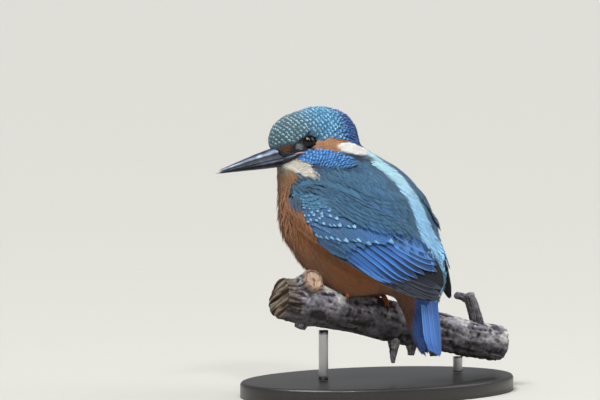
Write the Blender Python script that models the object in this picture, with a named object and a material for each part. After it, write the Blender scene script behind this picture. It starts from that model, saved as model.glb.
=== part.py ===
"""A common kingfisher, life size, on a short length of branch that two rods carry above a flat oval base.

Sizes are in millimetres until a mesh is made, and MM turns them into metres. The bird's own frame has its
breast towards -Y, its left side at +X and z = 0 where the feet grip the branch. The head has a frame of its
own, facing -Y, which HEAD_YAW and HEAD_PITCH turn. Soft forms are fields: each is negative inside the form,
zero on its surface and about the distance to it elsewhere, and neighbouring forms run smoothly together.
"""

import math

import bmesh
import bpy
import numpy as np
from mathutils import Vector

MM = 0.001

# The stand: how far the grip lies above the floor, and where the base's middle lies under the bird.
GRIP_HEIGHT = 42.0
BASE_MIDDLE = (-6.0, 12.5)
BASE_LONG, BASE_SHORT, BASE_THICK, BASE_BEVEL = 62.0, 42.0, 6.5, 1.4
ROD_RADIUS = 2.0
ROD_PLACES = (-19.0, 47.0)  # along the branch, from the feet

# The head, its place and its turn to the bird's left and down.
HEAD_CENTRE = np.array([5.0, -17.2, 62.0])
HEAD_YAW, HEAD_PITCH = 57.0, 13.0
EYE_PLACE, EYE_RADIUS = np.array([8.2, -1.4, 2.1]), 3.3

# Forms as centre, half sizes and pitch in degrees. A form off the middle has a twin on the other side.
HEAD_FORMS = {
    "cranium": ((0.0, 4.9, 2.0), (10.6, 17.6, 13.0), 0.0),
    "forehead": ((0.0, -5.8, 3.2), (7.8, 9.2, 9.8), 0.0),
    "nape": ((0.0, 14.0, -2.5), (9.6, 10.0, 11.5), -20.0),
    "cheek": ((5.6, 3.5, -4.2), (5.4, 11.5, 6.2), 0.0),
    "chin": ((0.0, -3.5, -7.2), (6.0, 9.0, 4.8), 0.0),
}
NECK_FORMS = {
    "throat": ((4.5, -16.0, 46.5), (11.0, 12.5, 13.0), 10.0),
    "neck": ((0.0, -4.5, 49.0), (15.5, 17.5, 13.0), 20.0),
}
TRUNK_FORMS = {
    "breast": ((0.0, -6.3, 32.0), (20.5, 23.5, 22.0), 0.0),
    "belly": ((0.0, 9.0, 18.5), (20.5, 29.0, 19.0), 0.0),
    "back": ((0.0, 16.5, 29.5), (17.0, 20.2, 33.0), 38.0),
    "scapulars": ((9.0, 16.0, 34.0), (9.5, 17.2, 24.5), 40.0),
    "shoulder": ((11.5, 8.5, 41.5), (8.5, 12.0, 14.0), 40.0),
    "rump": ((0.0, 33.0, 13.0), (11.5, 12.0, 20.0), 22.0),
    "thigh": ((10.0, 9.0, 8.5), (8.0, 14.0, 8.5), 0.0),
    "vent": ((0.0, 36.4, -6.0), (5.4, 6.2, 19.5), 17.0),
}
FORM_BLEND, NECK_BLEND = 5.0, 7.0

# The planes that part head, neck and trunk, each as a point and the way to the head, and the gap there.
HEAD_PLANE = (np.array([1.0, -9.0, 53.0]), np.array([0.15, -0.40, 0.90]))
NECK_PLANE = (np.array([0.0, -2.0, 43.5]), np.array([0.0, -0.43, 0.90]))
GAP = 0.35
CUT_SPARE = 2.0  # how far a form runs on past a plane that then cuts it
TO_FLOOR = np.array([-BASE_MIDDLE[0], -BASE_MIDDLE[1], GRIP_HEIGHT])

# The trunk's spine in the plane of symmetry, and how steeply its rings lean.
SPINE_STATIONS = (0.0, 0.25, 0.5, 0.7, 0.85, 1.0)
SPINE_Y = (-2.0, 6.0, 17.0, 28.0, 35.5, 40.8)
SPINE_Z = (43.5, 28.0, 14.0, 4.5, -5.0, -20.5)
SPINE_FALL = (64.5, 58.0, 52.0, 54.0, 62.0, 72.0)  # degrees below level

# A folded wing: its middle line from wrist to tip, the outward direction, the half widths and the arch.
WING_LINE = np.array([[16.0, -13.0, 38.0], [29.0, 5.0, 35.5], [25.0, 33.0, 18.5], [4.2, 49.0, 1.2]])
WING_OUT = np.array([[0.86, -0.42, 0.28], [0.97, 0.10, 0.22], [0.80, 0.55, 0.24]])
WING_STATIONS = (0.0, 0.12, 0.3, 0.5, 0.68, 0.82, 0.94, 1.0)
WING_UPPER = (5.0, 8.5, 12.0, 13.5, 14.5, 13.8, 10.0, 5.0)
WING_LOWER = (5.0, 8.5, 10.0, 9.5, 8.5, 7.3, 5.5, 2.8)
WING_THICK = (2.2, 3.0, 3.2, 2.8, 2.2, 1.8, 1.4, 1.0)
WING_ARCH = 30.0
WING_CLEAR = 0.55

# The closed tail, hanging: its middle line, half widths and half thicknesses from root to tip.
TAIL_LINE = np.array([[0.0, 41.0, 7.0], [0.0, 44.8, -8.0], [0.0, 45.2, -24.8]])
TAIL_HALF_WIDTHS = (4.8, 6.0, 6.2, 5.8, 4.4)
TAIL_HALF_THICK = (1.2, 1.3, 1.1, 0.9, 0.5)
TAIL_ARCH = 6.5

# The bill, along -Y of the head's frame.
BILL_ROOT_Y, BILL_TIP_Y = -7.8, -42.0
BILL_STATIONS = (0.0, 0.2, 0.4, 0.65, 0.85, 0.96, 1.0)
BILL_HALF_WIDTHS = (5.2, 4.3, 3.2, 2.1, 1.25, 0.62, 0.25)
BILL_TOPS = (3.0, 2.4, 1.85, 0.85, -0.05, -0.65, -0.95)
BILL_BOTTOMS = (-6.3, -5.9, -5.0, -3.6, -2.5, -1.9, -1.6)
BILL_GAPE_Z, BILL_MEET_Z = -2.4, -1.3  # height of the line between the mandibles, at root and tip
BILL_SLIT = 0.3

# The branch: where its axis passes under the feet, its level direction, and its heights and radii along it.
BRANCH_MIDDLE = np.array([0.0, 8.65])
BRANCH_ALONG = np.array([-0.883, 0.469])
BRANCH_STATIONS = (-40.0, -30.0, -12.0, 8.0, 30.0, 50.0, 68.0)
BRANCH_DROP = (0.3, -1.8, -6.0, -10.6, -16.0, -20.6, -24.4)
BRANCH_RADII = (8.4, 9.2, 8.8, 8.4, 8.3, 7.9, 7.3)
BARK_SWELL = 1.06  # how far the bark's waves may stand out, as a share of the radius

# Side shoots: where along the branch and how high over its axis each starts, its lean to the far end, the
# back and up, its length, root and end radii, and how far it bends along the branch.
SHOOTS = {
    "knot": (-31.5, 4.8, (0.1, 0.85, 0.5), 9.5, 5.2, 4.9, 0.0),
    "heel": (-27.0, -4.0, (-0.2, 0.1, -1.0), 7.0, 4.4, 2.4, 0.0),
    "spur": (16.5, -3.5, (-0.05, 0.35, -0.9), 14.5, 4.4, 0.8, 0.0),
    "thorn": (25.0, -3.5, (0.05, 0.25, -1.0), 8.8, 4.2, 1.3, 0.0),
    "twig": (57.0, 3.0, (-0.5, 0.1, 1.0), 17.0, 3.4, 2.4, -2.0),
    "nub": (49.5, 16.4, (-1.0, 0.15, 0.05), 8.0, 2.2, 1.5, 0.0),
}

# Feet: where each grips along the branch, the toes' reach round it and their thickness.
FOOT_PLACES = {"left": (-13.0, 9.0), "right": (5.0, -7.0)}  # along the branch, hip x
TARSUS_RADIUS, TOE_RADIUS, CLAW_RADIUS = 1.3, 1.0, 0.7
TOE_LAYOUT = {
    "inner": (-2.4, 1.0, 84.0),
    "middle": (0.0, 1.0, 108.0),
    "outer": (2.5, 1.0, 100.0),
    "hind": (-0.6, -1.0, 58.0),
}
TOE_TAPER = np.array([1.0, 1.0, 1.0, 0.96, 1.0, 0.9, 0.8])
BELLY_CLEAR = 3.2  # the belly's gap over the wood, which the toes run through

COLOURS = {
    "crown": ((0.03, 0.20, 0.33), 0.6),
    "blue": ((0.04, 0.18, 0.36), 0.55),
    "slate": ((0.07, 0.12, 0.19), 0.6),
    "orange": ((0.42, 0.15, 0.045), 0.75),
    "bill": ((0.02, 0.02, 0.028), 0.35),
    "eye": ((0.012, 0.008, 0.007), 0.08),
    "foot": ((0.5, 0.13, 0.06), 0.5),
    "claw": ((0.05, 0.035, 0.03), 0.35),
    "bark": ((0.10, 0.085, 0.085), 0.85),
    "stand": ((0.06, 0.06, 0.065), 0.4),
    "steel": ((0.55, 0.55, 0.56), 0.3),
}


def through(stations, values, at):
    """A smooth curve through named values: cubic pieces with slopes taken from the neighbours."""
    x, y = np.asarray(stations, float), np.asarray(values, float)
    slopes = np.gradient(y, x, axis=0)
    at = np.clip(np.asarray(at, float), x[0], x[-1])
    i = np.clip(np.searchsorted(x, at, side="right") - 1, 0, len(x) - 2)
    width = x[i + 1] - x[i]
    t = (at - x[i]) / width
    low, high = y[i], y[i + 1]
    rise = (2 * t**3 - 3 * t**2 + 1) * low + (3 * t**2 - 2 * t**3) * high
    return rise + width * ((t**3 - 2 * t**2 + t) * slopes[i] + (t**3 - t**2) * slopes[i + 1])


def bezier(points, at):
    """A point of a Bezier curve, and its direction, at each share of its length in at."""
    at = np.asarray(at, float)[:, None]

    def mix(corners):
        order = len(corners) - 1
        shares = [math.comb(order, k) * at**k * (1 - at) ** (order - k) for k in range(order + 1)]
        return sum(share * corner for share, corner in zip(shares, corners))

    return mix(points), unit(mix(np.diff(points, axis=0)))


def unit(vectors):
    return vectors / np.maximum(np.linalg.norm(vectors, axis=-1, keepdims=True), 1e-12)


def turn(axis, degrees):
    """The matrix of a right-handed turn about X, Y or Z."""
    c, s = math.cos(math.radians(degrees)), math.sin(math.radians(degrees))
    i, j = {"X": (1, 2), "Y": (2, 0), "Z": (0, 1)}[axis]
    matrix = np.eye(3)
    matrix[i, i] = matrix[j, j] = c
    matrix[i, j], matrix[j, i] = -s, s
    return matrix


HEAD_TURN = turn("Z", HEAD_YAW) @ turn("X", HEAD_PITCH)


def from_head(points):
    """Points of the head's frame in the bird's frame."""
    return np.asarray(points) @ HEAD_TURN.T + HEAD_CENTRE


def to_head(points):
    return (points - HEAD_CENTRE) @ HEAD_TURN


def ellipsoid(points, centre, radii, pitch):
    local = (points - np.array(centre)) @ turn("X", pitch)
    near = np.linalg.norm(local / radii, axis=-1)
    steep = np.linalg.norm(local / np.square(radii), axis=-1)
    return near * (near - 1) / np.maximum(steep, 1e-9)


def melt(first, second, width):
    """The union of two fields, rounded where they meet over about this width."""
    share = np.clip(0.5 + 0.5 * (second - first) / width, 0, 1)
    return second * (1 - share) + first * share - width * share * (1 - share)


def together(points, forms, width):
    found = None
    for centre, radii, pitch in forms.values():
        one = ellipsoid(points, centre, radii, pitch)
        found = one if found is None else melt(found, one, width)
    return found


def mirrored(points):
    return np.concatenate([np.abs(points[..., :1]), points[..., 1:]], axis=-1)


def bird(points):
    """The field of head, neck and trunk in one."""
    head = together(mirrored(to_head(points)), HEAD_FORMS, FORM_BLEND)
    trunk = together(mirrored(points), TRUNK_FORMS, FORM_BLEND)
    neck = together(points, NECK_FORMS, FORM_BLEND)
    return melt(melt(head, neck, NECK_BLEND), trunk, NECK_BLEND)


def reach(field, origins, directions, farthest):
    """Where each ray, from inside, first meets the field's surface: a coarse walk, then halving."""
    low = np.zeros(len(origins))
    high = np.full(len(origins), farthest)
    found = np.zeros(len(origins), bool)
    for distance in np.linspace(0, farthest, 70)[1:]:
        outside = ~found & (field(origins + directions * distance) > 0)
        high = np.where(outside, distance, high)
        found |= outside
        low = np.where(found, low, distance)
    for _ in range(18):
        middle = (low + high) / 2
        inside = field(origins + directions * middle[:, None]) < 0
        low, high = np.where(inside, middle, low), np.where(inside, high, middle)
    return origins + directions * low[:, None]


def grid_faces(rings, sides):
    """Quads between neighbouring rings of a tube."""
    i, j = np.meshgrid(np.arange(rings - 1), np.arange(sides), indexing="ij")
    k = (j + 1) % sides
    quads = np.stack([i * sides + j, (i + 1) * sides + j, (i + 1) * sides + k, i * sides + k], axis=-1)
    return quads.reshape(-1, 4).tolist()


def tube(rings):
    """Points and faces of a closed tube through equal rings, with a flat cap at each end."""
    count, sides = rings.shape[:2]
    caps = [list(range(sides)), list(range((count - 1) * sides, count * sides))]
    return rings.reshape(-1, 3), grid_faces(count, sides) + caps


def ball(field, centre, pole, rings, sides, farthest):
    """The surface of a field seen from a point inside it, as rings round a pole, with a point at each end."""
    pole = unit(np.asarray(pole, float))
    side = unit(np.cross(pole, [0.3, 0.5, 0.8]))
    up = np.cross(pole, side)
    lean = np.linspace(0, math.pi, rings + 2)[1:-1, None]
    spin = np.linspace(0, 2 * math.pi, sides, endpoint=False)[None, :]
    across = np.cos(spin)[..., None] * side + np.sin(spin)[..., None] * up
    ways = np.cos(lean)[..., None] * pole + np.sin(lean)[..., None] * across
    ways = np.concatenate([ways.reshape(-1, 3), [pole, -pole]])
    points = reach(field, np.tile(centre, (len(ways), 1)).astype(float), ways, farthest)
    last = rings * sides
    first_fan = [[last, j, (j + 1) % sides] for j in range(sides)]
    last_fan = [[last + 1, last - sides + (j + 1) % sides, last - sides + j] for j in range(sides)]
    return points, grid_faces(rings, sides) + first_fan + last_fan


def make(name, shape, material):
    """An object from points in the bird's frame, in millimetres, and faces."""
    points, faces = shape
    mesh = bpy.data.meshes.new(name)
    mesh.from_pydata(((np.asarray(points) + TO_FLOOR) * MM).tolist(), [], faces)
    bm = bmesh.new()
    bm.from_mesh(mesh)
    bmesh.ops.recalc_face_normals(bm, faces=bm.faces)
    bm.to_mesh(mesh)
    bm.free()
    mesh.materials.append(material)
    mesh.shade_smooth()
    mesh.set_sharp_from_angle(angle=math.radians(40))
    made = bpy.data.objects.new(name, mesh)
    bpy.context.scene.collection.objects.link(made)
    return made


def finish(name):
    """A material with the part's colour and roughness."""
    colour, roughness = COLOURS[name]
    material = bpy.data.materials.new(name)
    material.use_nodes = True
    shader = material.node_tree.nodes["Principled BSDF"]
    shader.inputs["Base Color"].default_value = (*colour, 1.0)
    shader.inputs["Roughness"].default_value = roughness
    shader.inputs["Metallic"].default_value = 1.0 if name == "steel" else 0.0
    material.diffuse_color = (*colour, 1.0)
    return material


def combine(obj, other, operation="DIFFERENCE"):
    """Takes a helper out of an object, or joins it on."""
    modifier = obj.modifiers.new(other.name, "BOOLEAN")
    modifier.operation = operation
    modifier.solver = "EXACT"
    modifier.object = other
    other.hide_render = True
    other.display_type = "WIRE"


def head(materials):
    """The head, flat where it meets the neck, with pockets for the bill and the eyes."""
    towards = unit(HEAD_PLANE[1])
    floor = HEAD_PLANE[0] + towards * GAP / 2

    def down_to_neck(points):
        return np.maximum(bird(points), -(points - floor) @ towards - CUT_SPARE)

    forward = HEAD_TURN @ [0.0, -1.0, 0.0]
    skull = ball(down_to_neck, from_head([0.0, 5.0, 0.0]), forward, 20, 24, 40)
    made = make("head", skull, materials["crown"])
    bm = bmesh.new()
    bm.from_mesh(made.data)
    parts = [*bm.verts, *bm.edges, *bm.faces]
    level = Vector((floor + TO_FLOOR) * MM)
    bmesh.ops.bisect_plane(bm, geom=parts, dist=1e-7, plane_co=level, plane_no=towards, clear_inner=True)
    bmesh.ops.holes_fill(bm, edges=[edge for edge in bm.edges if edge.is_boundary], sides=0)
    bm.to_mesh(made.data)
    bm.free()
    make("bill_upper", tube(bill_rings(1.0)), materials["bill"])
    make("bill_lower", tube(bill_rings(-1.0)), materials["bill"])
    combine(made, make("bill_room", tube(bill_room()), materials["bill"]))
    for side, sign in (("left", 1.0), ("right", -1.0)):
        centre = from_head(EYE_PLACE * [sign, 1, 1])
        eye = ball(sphere(centre, EYE_RADIUS), centre, [0.0, 0.0, 1.0], 9, 14, 9.0)
        room = ball(sphere(centre, EYE_RADIUS + GAP), centre, [0.0, 0.0, 1.0], 7, 12, 9.0)
        make(f"eye_{side}", eye, materials["eye"])
        combine(made, make(f"eye_room_{side}", room, materials["eye"]))


def sphere(centre, radius):
    """The field of a ball."""

    def field(points):
        return np.linalg.norm(points - centre, axis=-1) - radius

    return field


def neck(material):
    """The neck: rings in planes that swing from the head's to the trunk's."""
    rings = []
    for share in np.linspace(0, 1, 5):
        towards = unit(unit(HEAD_PLANE[1]) * (1 - share) + unit(NECK_PLANE[1]) * share)
        centre = HEAD_PLANE[0] * (1 - share) + NECK_PLANE[0] * share + towards * GAP * (share - 0.5)
        rings.append(level_ring(bird, centre, towards, 30))
    make("neck", tube(np.stack(rings)), material)


def level_ring(field, centre, square_to, sides):
    """Where rays from a point, all square to a direction, meet a field."""
    first = unit(np.cross(square_to, [1.0, 0.0, 0.0]))
    second = np.cross(square_to, first)
    spin = np.linspace(0, 2 * math.pi, sides, endpoint=False)[:, None]
    ways = first * np.cos(spin) + second * np.sin(spin)
    return reach(field, np.tile(centre, (sides, 1)), ways, 45.0)


def trunk_field(points):
    """The bird's field, hollowed where the belly lies over the branch and the toes."""
    along = (points[..., :2] - BRANCH_MIDDLE) @ BRANCH_ALONG / (BRANCH_ALONG @ BRANCH_ALONG)
    axis, radius, way = branch_point(along.ravel())
    away = points.reshape(-1, 3) - axis
    away -= way * (away * way).sum(axis=1, keepdims=True)
    wood = radius * BARK_SWELL + BELLY_CLEAR - np.linalg.norm(away, axis=1)
    return np.maximum(bird(points), wood.reshape(along.shape))


def trunk(material):
    """The trunk from the neck's plane to the under-tail coverts, as rings round a bent spine."""
    share = np.concatenate([[0.0], np.linspace(0.04, 1.0, 25)])
    spine = np.stack([0 * share, *(through(SPINE_STATIONS, v, share) for v in (SPINE_Y, SPINE_Z))], axis=1)
    spine[0] -= unit(NECK_PLANE[1]) * GAP / 2
    fall = np.radians(through(SPINE_STATIONS, SPINE_FALL, share))
    square = np.stack([0 * fall, -np.cos(fall), np.sin(fall)], axis=1)
    square[0] = unit(NECK_PLANE[1])
    rings = [level_ring(trunk_field, centre, way, 28) for centre, way in zip(spine, square)]
    return make("trunk", tube(np.stack(rings)), material)


def wing_sheet(along, across):
    """The folded wing's inner face and outward direction: an arched sheet, pushed out clear of the trunk."""
    middle, way = bezier(WING_LINE, along)
    outward = bezier(WING_OUT, along)[0]
    outward = unit(outward - way * (outward * way).sum(axis=1, keepdims=True))
    upward = np.cross(outward, way)
    upward = upward * np.sign(upward[:, 2:])
    upper = through(WING_STATIONS, WING_UPPER, along)
    lower = through(WING_STATIONS, WING_LOWER, along)
    offset = (np.where(across > 0, upper, lower) * across)[:, None]
    points = middle + upward * offset - outward * offset**2 / (2 * WING_ARCH)
    for _ in range(6):
        points = points + outward * np.clip(WING_CLEAR - bird(points), 0, 5)[:, None]
    return points, outward


def wings(material):
    """Both folded wings, each a closed shell over an arched sheet."""
    stations = np.concatenate([[0.0, 0.03], np.linspace(0.09, 0.92, 12), [0.965, 0.99, 1.0]])
    spread = np.sin(np.linspace(-math.pi / 2, math.pi / 2, 8))
    along, across = (a.ravel() for a in np.meshgrid(stations, spread, indexing="ij"))
    rounding = np.clip(np.sqrt(along / 0.06), 0.45, 1) * np.clip(np.sqrt((1.003 - along) / 0.03), 0.3, 1)
    inner, outward = wing_sheet(along, across * rounding)
    thick = through(WING_STATIONS, WING_THICK, along) * np.clip(1.15 - np.abs(across) ** 3, 0.35, 1)
    outer = inner + outward * thick[:, None]
    shape = (len(stations), len(spread), 3)
    rings = np.concatenate([outer.reshape(shape), inner.reshape(shape)[:, ::-1]], axis=1)
    for side, sign in (("left", 1.0), ("right", -1.0)):
        make(f"wing_{side}", tube(rings * [sign, 1.0, 1.0]), material)


def tail(name, extra, material):
    """The closed tail as one flat, slightly arched blade with rounded corners."""
    along = np.linspace(0, 1, 8)
    middle, way = bezier(TAIL_LINE, along)
    stations = np.linspace(0, 1, len(TAIL_HALF_WIDTHS))
    half = through(stations, TAIL_HALF_WIDTHS, along) + extra
    thick = through(stations, TAIL_HALF_THICK, along) + extra
    spin = np.linspace(0, 2 * math.pi, 14, endpoint=False)
    backward = unit(np.cross(np.array([1.0, 0, 0]), way))
    sideways = half[:, None] * np.cos(spin)
    rise = thick[:, None] * np.sin(spin) * (1.1 - 0.5 * np.cos(spin) ** 2) - sideways**2 / (2 * TAIL_ARCH)
    rings = middle[:, None] + backward[:, None] * rise[..., None]
    rings[..., 0] += sideways
    rings[0] -= way[0] * extra
    rings[-1] += way[-1] * extra
    return make(name, tube(rings), material)


def bill_rings(sign):
    """One mandible, above (1) or below (-1): rounded outside, and flat on the line where the two meet."""
    share = np.array([0.0, 0.11, 0.22, 0.35, 0.5, 0.66, 0.8, 0.91, 0.975, 1.0])
    half = through(BILL_STATIONS, BILL_HALF_WIDTHS, share)[:, None]
    edge = through(BILL_STATIONS, BILL_TOPS if sign > 0 else BILL_BOTTOMS, share)[:, None]
    meet = (BILL_GAPE_Z + (BILL_MEET_Z - BILL_GAPE_Z) * share + sign * BILL_SLIT / 2)[:, None]
    spin = np.linspace(0, math.pi, 9)
    x = half * np.concatenate([np.cos(spin), [-0.45, 0.45]])
    z = meet + (edge - meet) * np.concatenate([np.sin(spin) ** 0.85, [0.0, 0.0]])
    y = BILL_ROOT_Y + (BILL_TIP_Y - BILL_ROOT_Y) * share[:, None] + 0 * x
    return from_head(np.stack([x, y, z], axis=-1))


def bill_room():
    """A tube round the roots of both mandibles, a gap wider than they are."""
    share = np.array([-0.01, 0.15, 0.35])
    half = through(BILL_STATIONS, BILL_HALF_WIDTHS, share)[:, None] + GAP + 0.1
    top = through(BILL_STATIONS, BILL_TOPS, share)[:, None] + GAP + 0.1
    bottom = through(BILL_STATIONS, BILL_BOTTOMS, share)[:, None] - GAP - 0.1
    spin = np.linspace(0, 2 * math.pi, 16, endpoint=False)
    x = half * np.cos(spin)
    z = (top + bottom) / 2 + (top - bottom) / 2 * np.sign(np.sin(spin)) * np.abs(np.sin(spin)) ** 0.6
    y = BILL_ROOT_Y + (BILL_TIP_Y - BILL_ROOT_Y) * share[:, None] + 0 * x
    return from_head(np.stack([x, y, z], axis=-1))


def branch_point(along):
    """The branch's axis, radius and direction at distances along it from under the feet."""
    along = np.atleast_1d(np.asarray(along, float))

    def axis(at):
        level = at[:, None] * BRANCH_ALONG + BRANCH_MIDDLE
        return np.column_stack([level, through(BRANCH_STATIONS, BRANCH_DROP, at)])

    radius = through(BRANCH_STATIONS, BRANCH_RADII, along)
    return axis(along), radius, unit(axis(along + 0.5) - axis(along - 0.5))


def round_ring(centre, way, radii, start):
    """A ring of points round a centre, square to a direction, starting at the side nearest to start."""
    first = unit(start - way * (way @ start))
    second = np.cross(way, first)
    spin = np.linspace(0, 2 * math.pi, len(radii), endpoint=False)[:, None]
    return centre + radii[:, None] * (first * np.cos(spin) + second * np.sin(spin))


def swept(line, radii, sides):
    """A closed tapered tube along a line of points."""
    line = np.asarray(line, float)
    ways = unit(np.gradient(line, axis=0))
    start = np.array([0.0, 0.0, 1.0]) if abs(ways[0][2]) < 0.8 else np.array([0.0, 1.0, 0.0])
    rings = [round_ring(p, w, np.full(sides, r), start) for p, w, r in zip(line, ways, radii)]
    return tube(np.stack(rings))


def branch(name, material):
    """The branch's own tube, made uneven by a few slow waves along it and round it."""
    along = np.linspace(BRANCH_STATIONS[0], BRANCH_STATIONS[-1], 21)
    spin = np.linspace(0, 2 * math.pi, 16, endpoint=False)
    centres, radii, ways = branch_point(along)
    broad = 0.035 * np.sin(2 * spin + along[:, None] * 0.11)
    narrow = 0.03 * np.sin(3 * spin - along[:, None] * 0.17 + 1)
    uneven = radii[:, None] * (1 + broad + narrow)
    rings = [round_ring(c, w, r, np.array([0.0, 0.0, 1.0])) for c, w, r in zip(centres, ways, uneven)]
    return make(name, tube(np.stack(rings)), material)


def shoot(along, lift, lean, length, root, end, bend):
    """A side shoot: a tapered tube from inside the branch, leaning as (to the far end, to the back, up)."""
    centre, _, way = (a[0] for a in branch_point(along))
    back = unit(np.cross(way, [0.0, 0.0, 1.0]))
    up = np.cross(back, way)
    lean = unit(way * lean[0] + back * lean[1] + up * lean[2])
    share = np.linspace(0, 1, 4)[:, None]
    line = centre + up * lift + lean * share * length + way * bend * share**2
    return swept(line, root + (end - root) * share[:, 0] ** 0.7, 10)


def perch(material):
    """The branch with its sawn knot, spurs and twig, joined into one piece of wood."""
    wood = branch("perch", material)
    for name, layout in SHOOTS.items():
        combine(wood, make(name, shoot(*layout), material), "UNION")


def toe_line(place, ankle, sign, sweep):
    """A toe's middle line: from the ankle over the branch's top and round it by an angle."""
    centre, radius, way = (a[0] for a in branch_point(place))
    front = unit(np.cross([0.0, 0.0, 1.0], way)) * sign
    top = np.cross(way, front) * sign
    angle = np.radians(np.linspace(8.0, sweep, 6))[:, None]
    reach_out = radius * BARK_SWELL + TOE_RADIUS + 0.3
    round_wood = centre + reach_out * (np.cos(angle) * top + np.sin(angle) * front)
    start = ankle * 0.8 + round_wood[0] * 0.2
    return np.concatenate([[start], round_wood])


def claw(name, line, material):
    """A curved claw that carries on from the end of a toe, a gap beyond it."""
    way = unit(line[-1] - line[-2])
    inward = unit((line[-1] + line[-3]) / 2 - line[-2])
    share = np.linspace(0, 1, 5)[:, None]
    points = line[-1] + way * (GAP + share * 3.0) + inward * share**2 * 0.8
    make(name, swept(points, CLAW_RADIUS * (1 - share[:, 0]) ** 0.8 + 0.12, 6), material)


def feet(materials, body):
    """Each leg: a short tarsus and four toes round the branch, joined, with a claw on each toe."""
    for side, (place, hip) in FOOT_PLACES.items():
        centre, radius, _ = (a[0] for a in branch_point(place))
        ankle = centre + np.array([0.0, 0.0, radius * BARK_SWELL + TOE_RADIUS + 0.4])
        hock = np.array([hip, ankle[1] + 4.0, 8.5])
        share = np.linspace(0, 1, 3)[:, None]
        shank = swept(ankle + (hock - ankle) * share, np.full(3, TARSUS_RADIUS), 8)
        room = swept(ankle + (hock - ankle) * share * 1.06, np.full(3, TARSUS_RADIUS + GAP + 0.1), 8)
        leg = make(f"leg_{side}", shank, materials["foot"])
        combine(body, make(f"leg_room_{side}", room, materials["foot"]))
        for toe, (shift, sign, sweep) in TOE_LAYOUT.items():
            line = toe_line(place + shift * (1 if side == "left" else -1), ankle, sign, sweep)
            joint = make(f"toe_{side}_{toe}", swept(line, TOE_RADIUS * TOE_TAPER, 7), materials["foot"])
            combine(leg, joint, "UNION")
            claw(f"claw_{side}_{toe}", line, materials["claw"])


def stand(materials):
    """A flat oval base along the branch, and two rods up to the wood's underside."""
    spin = np.linspace(0, 2 * math.pi, 40, endpoint=False)[:, None]
    along = np.array([*unit(BRANCH_ALONG), 0.0])
    across = np.cross([0.0, 0.0, 1.0], along)
    rings = []
    for height, inset in ((0.0, 0.0), (BASE_THICK - BASE_BEVEL, 0.0), (BASE_THICK, BASE_BEVEL)):
        middle = np.array([*BASE_MIDDLE, height - GRIP_HEIGHT])
        oval = (BASE_LONG - inset) * np.cos(spin) * along + (BASE_SHORT - inset) * np.sin(spin) * across
        rings.append(middle + oval)
    make("stand_base", tube(np.stack(rings)), materials["stand"])
    for name, place in zip(("stand_rod_front", "stand_rod_back"), ROD_PLACES):
        centre, radius, _ = (a[0] for a in branch_point(place))
        heights = np.linspace(BASE_THICK - GRIP_HEIGHT + GAP, centre[2] - radius * BARK_SWELL - GAP, 2)
        line = [[centre[0], centre[1], height] for height in heights]
        make(name, swept(line, np.full(2, ROD_RADIUS), 16), materials["steel"])


def main():
    for old in list(bpy.data.objects):
        bpy.data.objects.remove(old)
    materials = {name: finish(name) for name in COLOURS}
    head(materials)
    neck(materials["orange"])
    body = trunk(materials["orange"])
    wings(materials["blue"])
    tail("tail", 0.0, materials["blue"])
    combine(body, tail("tail_room", GAP, materials["blue"]))
    perch(materials["bark"])
    feet(materials, body)
    stand(materials)


main()
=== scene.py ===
"""A museum's life-size common kingfisher: skin, plumage, bill, eyes, feet, perch and stand on the frame.

Sizes are in millimetres in the bird's own frame until a mesh is made. There the breast faces -Y, the left
side is at +X and z = 0 where the feet grip the wood. The head has a frame of its own that faces -Y. Soft
forms are fields, negative inside, and the feathers are laid over the surface that those fields give.
"""

import functools
import math

import bpy
import numpy as np
from mathutils import Matrix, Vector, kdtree


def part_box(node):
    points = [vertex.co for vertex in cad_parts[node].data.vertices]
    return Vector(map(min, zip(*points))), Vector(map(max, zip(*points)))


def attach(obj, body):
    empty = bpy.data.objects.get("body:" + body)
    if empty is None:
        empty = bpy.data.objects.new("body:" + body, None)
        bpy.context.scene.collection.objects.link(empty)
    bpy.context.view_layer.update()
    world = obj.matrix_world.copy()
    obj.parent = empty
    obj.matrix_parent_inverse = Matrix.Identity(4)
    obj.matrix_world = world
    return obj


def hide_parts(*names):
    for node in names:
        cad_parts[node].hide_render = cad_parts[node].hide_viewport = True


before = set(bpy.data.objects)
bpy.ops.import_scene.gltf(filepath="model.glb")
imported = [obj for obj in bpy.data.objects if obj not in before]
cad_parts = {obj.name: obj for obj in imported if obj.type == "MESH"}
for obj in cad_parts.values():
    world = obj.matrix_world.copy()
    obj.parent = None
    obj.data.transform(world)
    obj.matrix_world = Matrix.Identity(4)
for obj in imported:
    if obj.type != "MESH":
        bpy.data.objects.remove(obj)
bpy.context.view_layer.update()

bl_info = {
    "name": "Common Kingfisher",
    "version": (1, 0, 0),
    "blender": (4, 5, 0),
    "location": "3D View > Sidebar > Kingfisher",
    "description": "Dresses the kingfisher's solids in skin, feathers, horn, bark and steel",
    "category": "Object",
}

MM = 0.001

# The head, its place and turn, and the eye in it.
HEAD_CENTRE = np.array([5.0, -17.2, 62.0])
HEAD_YAW, HEAD_PITCH = 57.0, 13.0
EYE_PLACE, EYE_RADIUS = np.array([8.2, -1.4, 2.1]), 3.3

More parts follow.
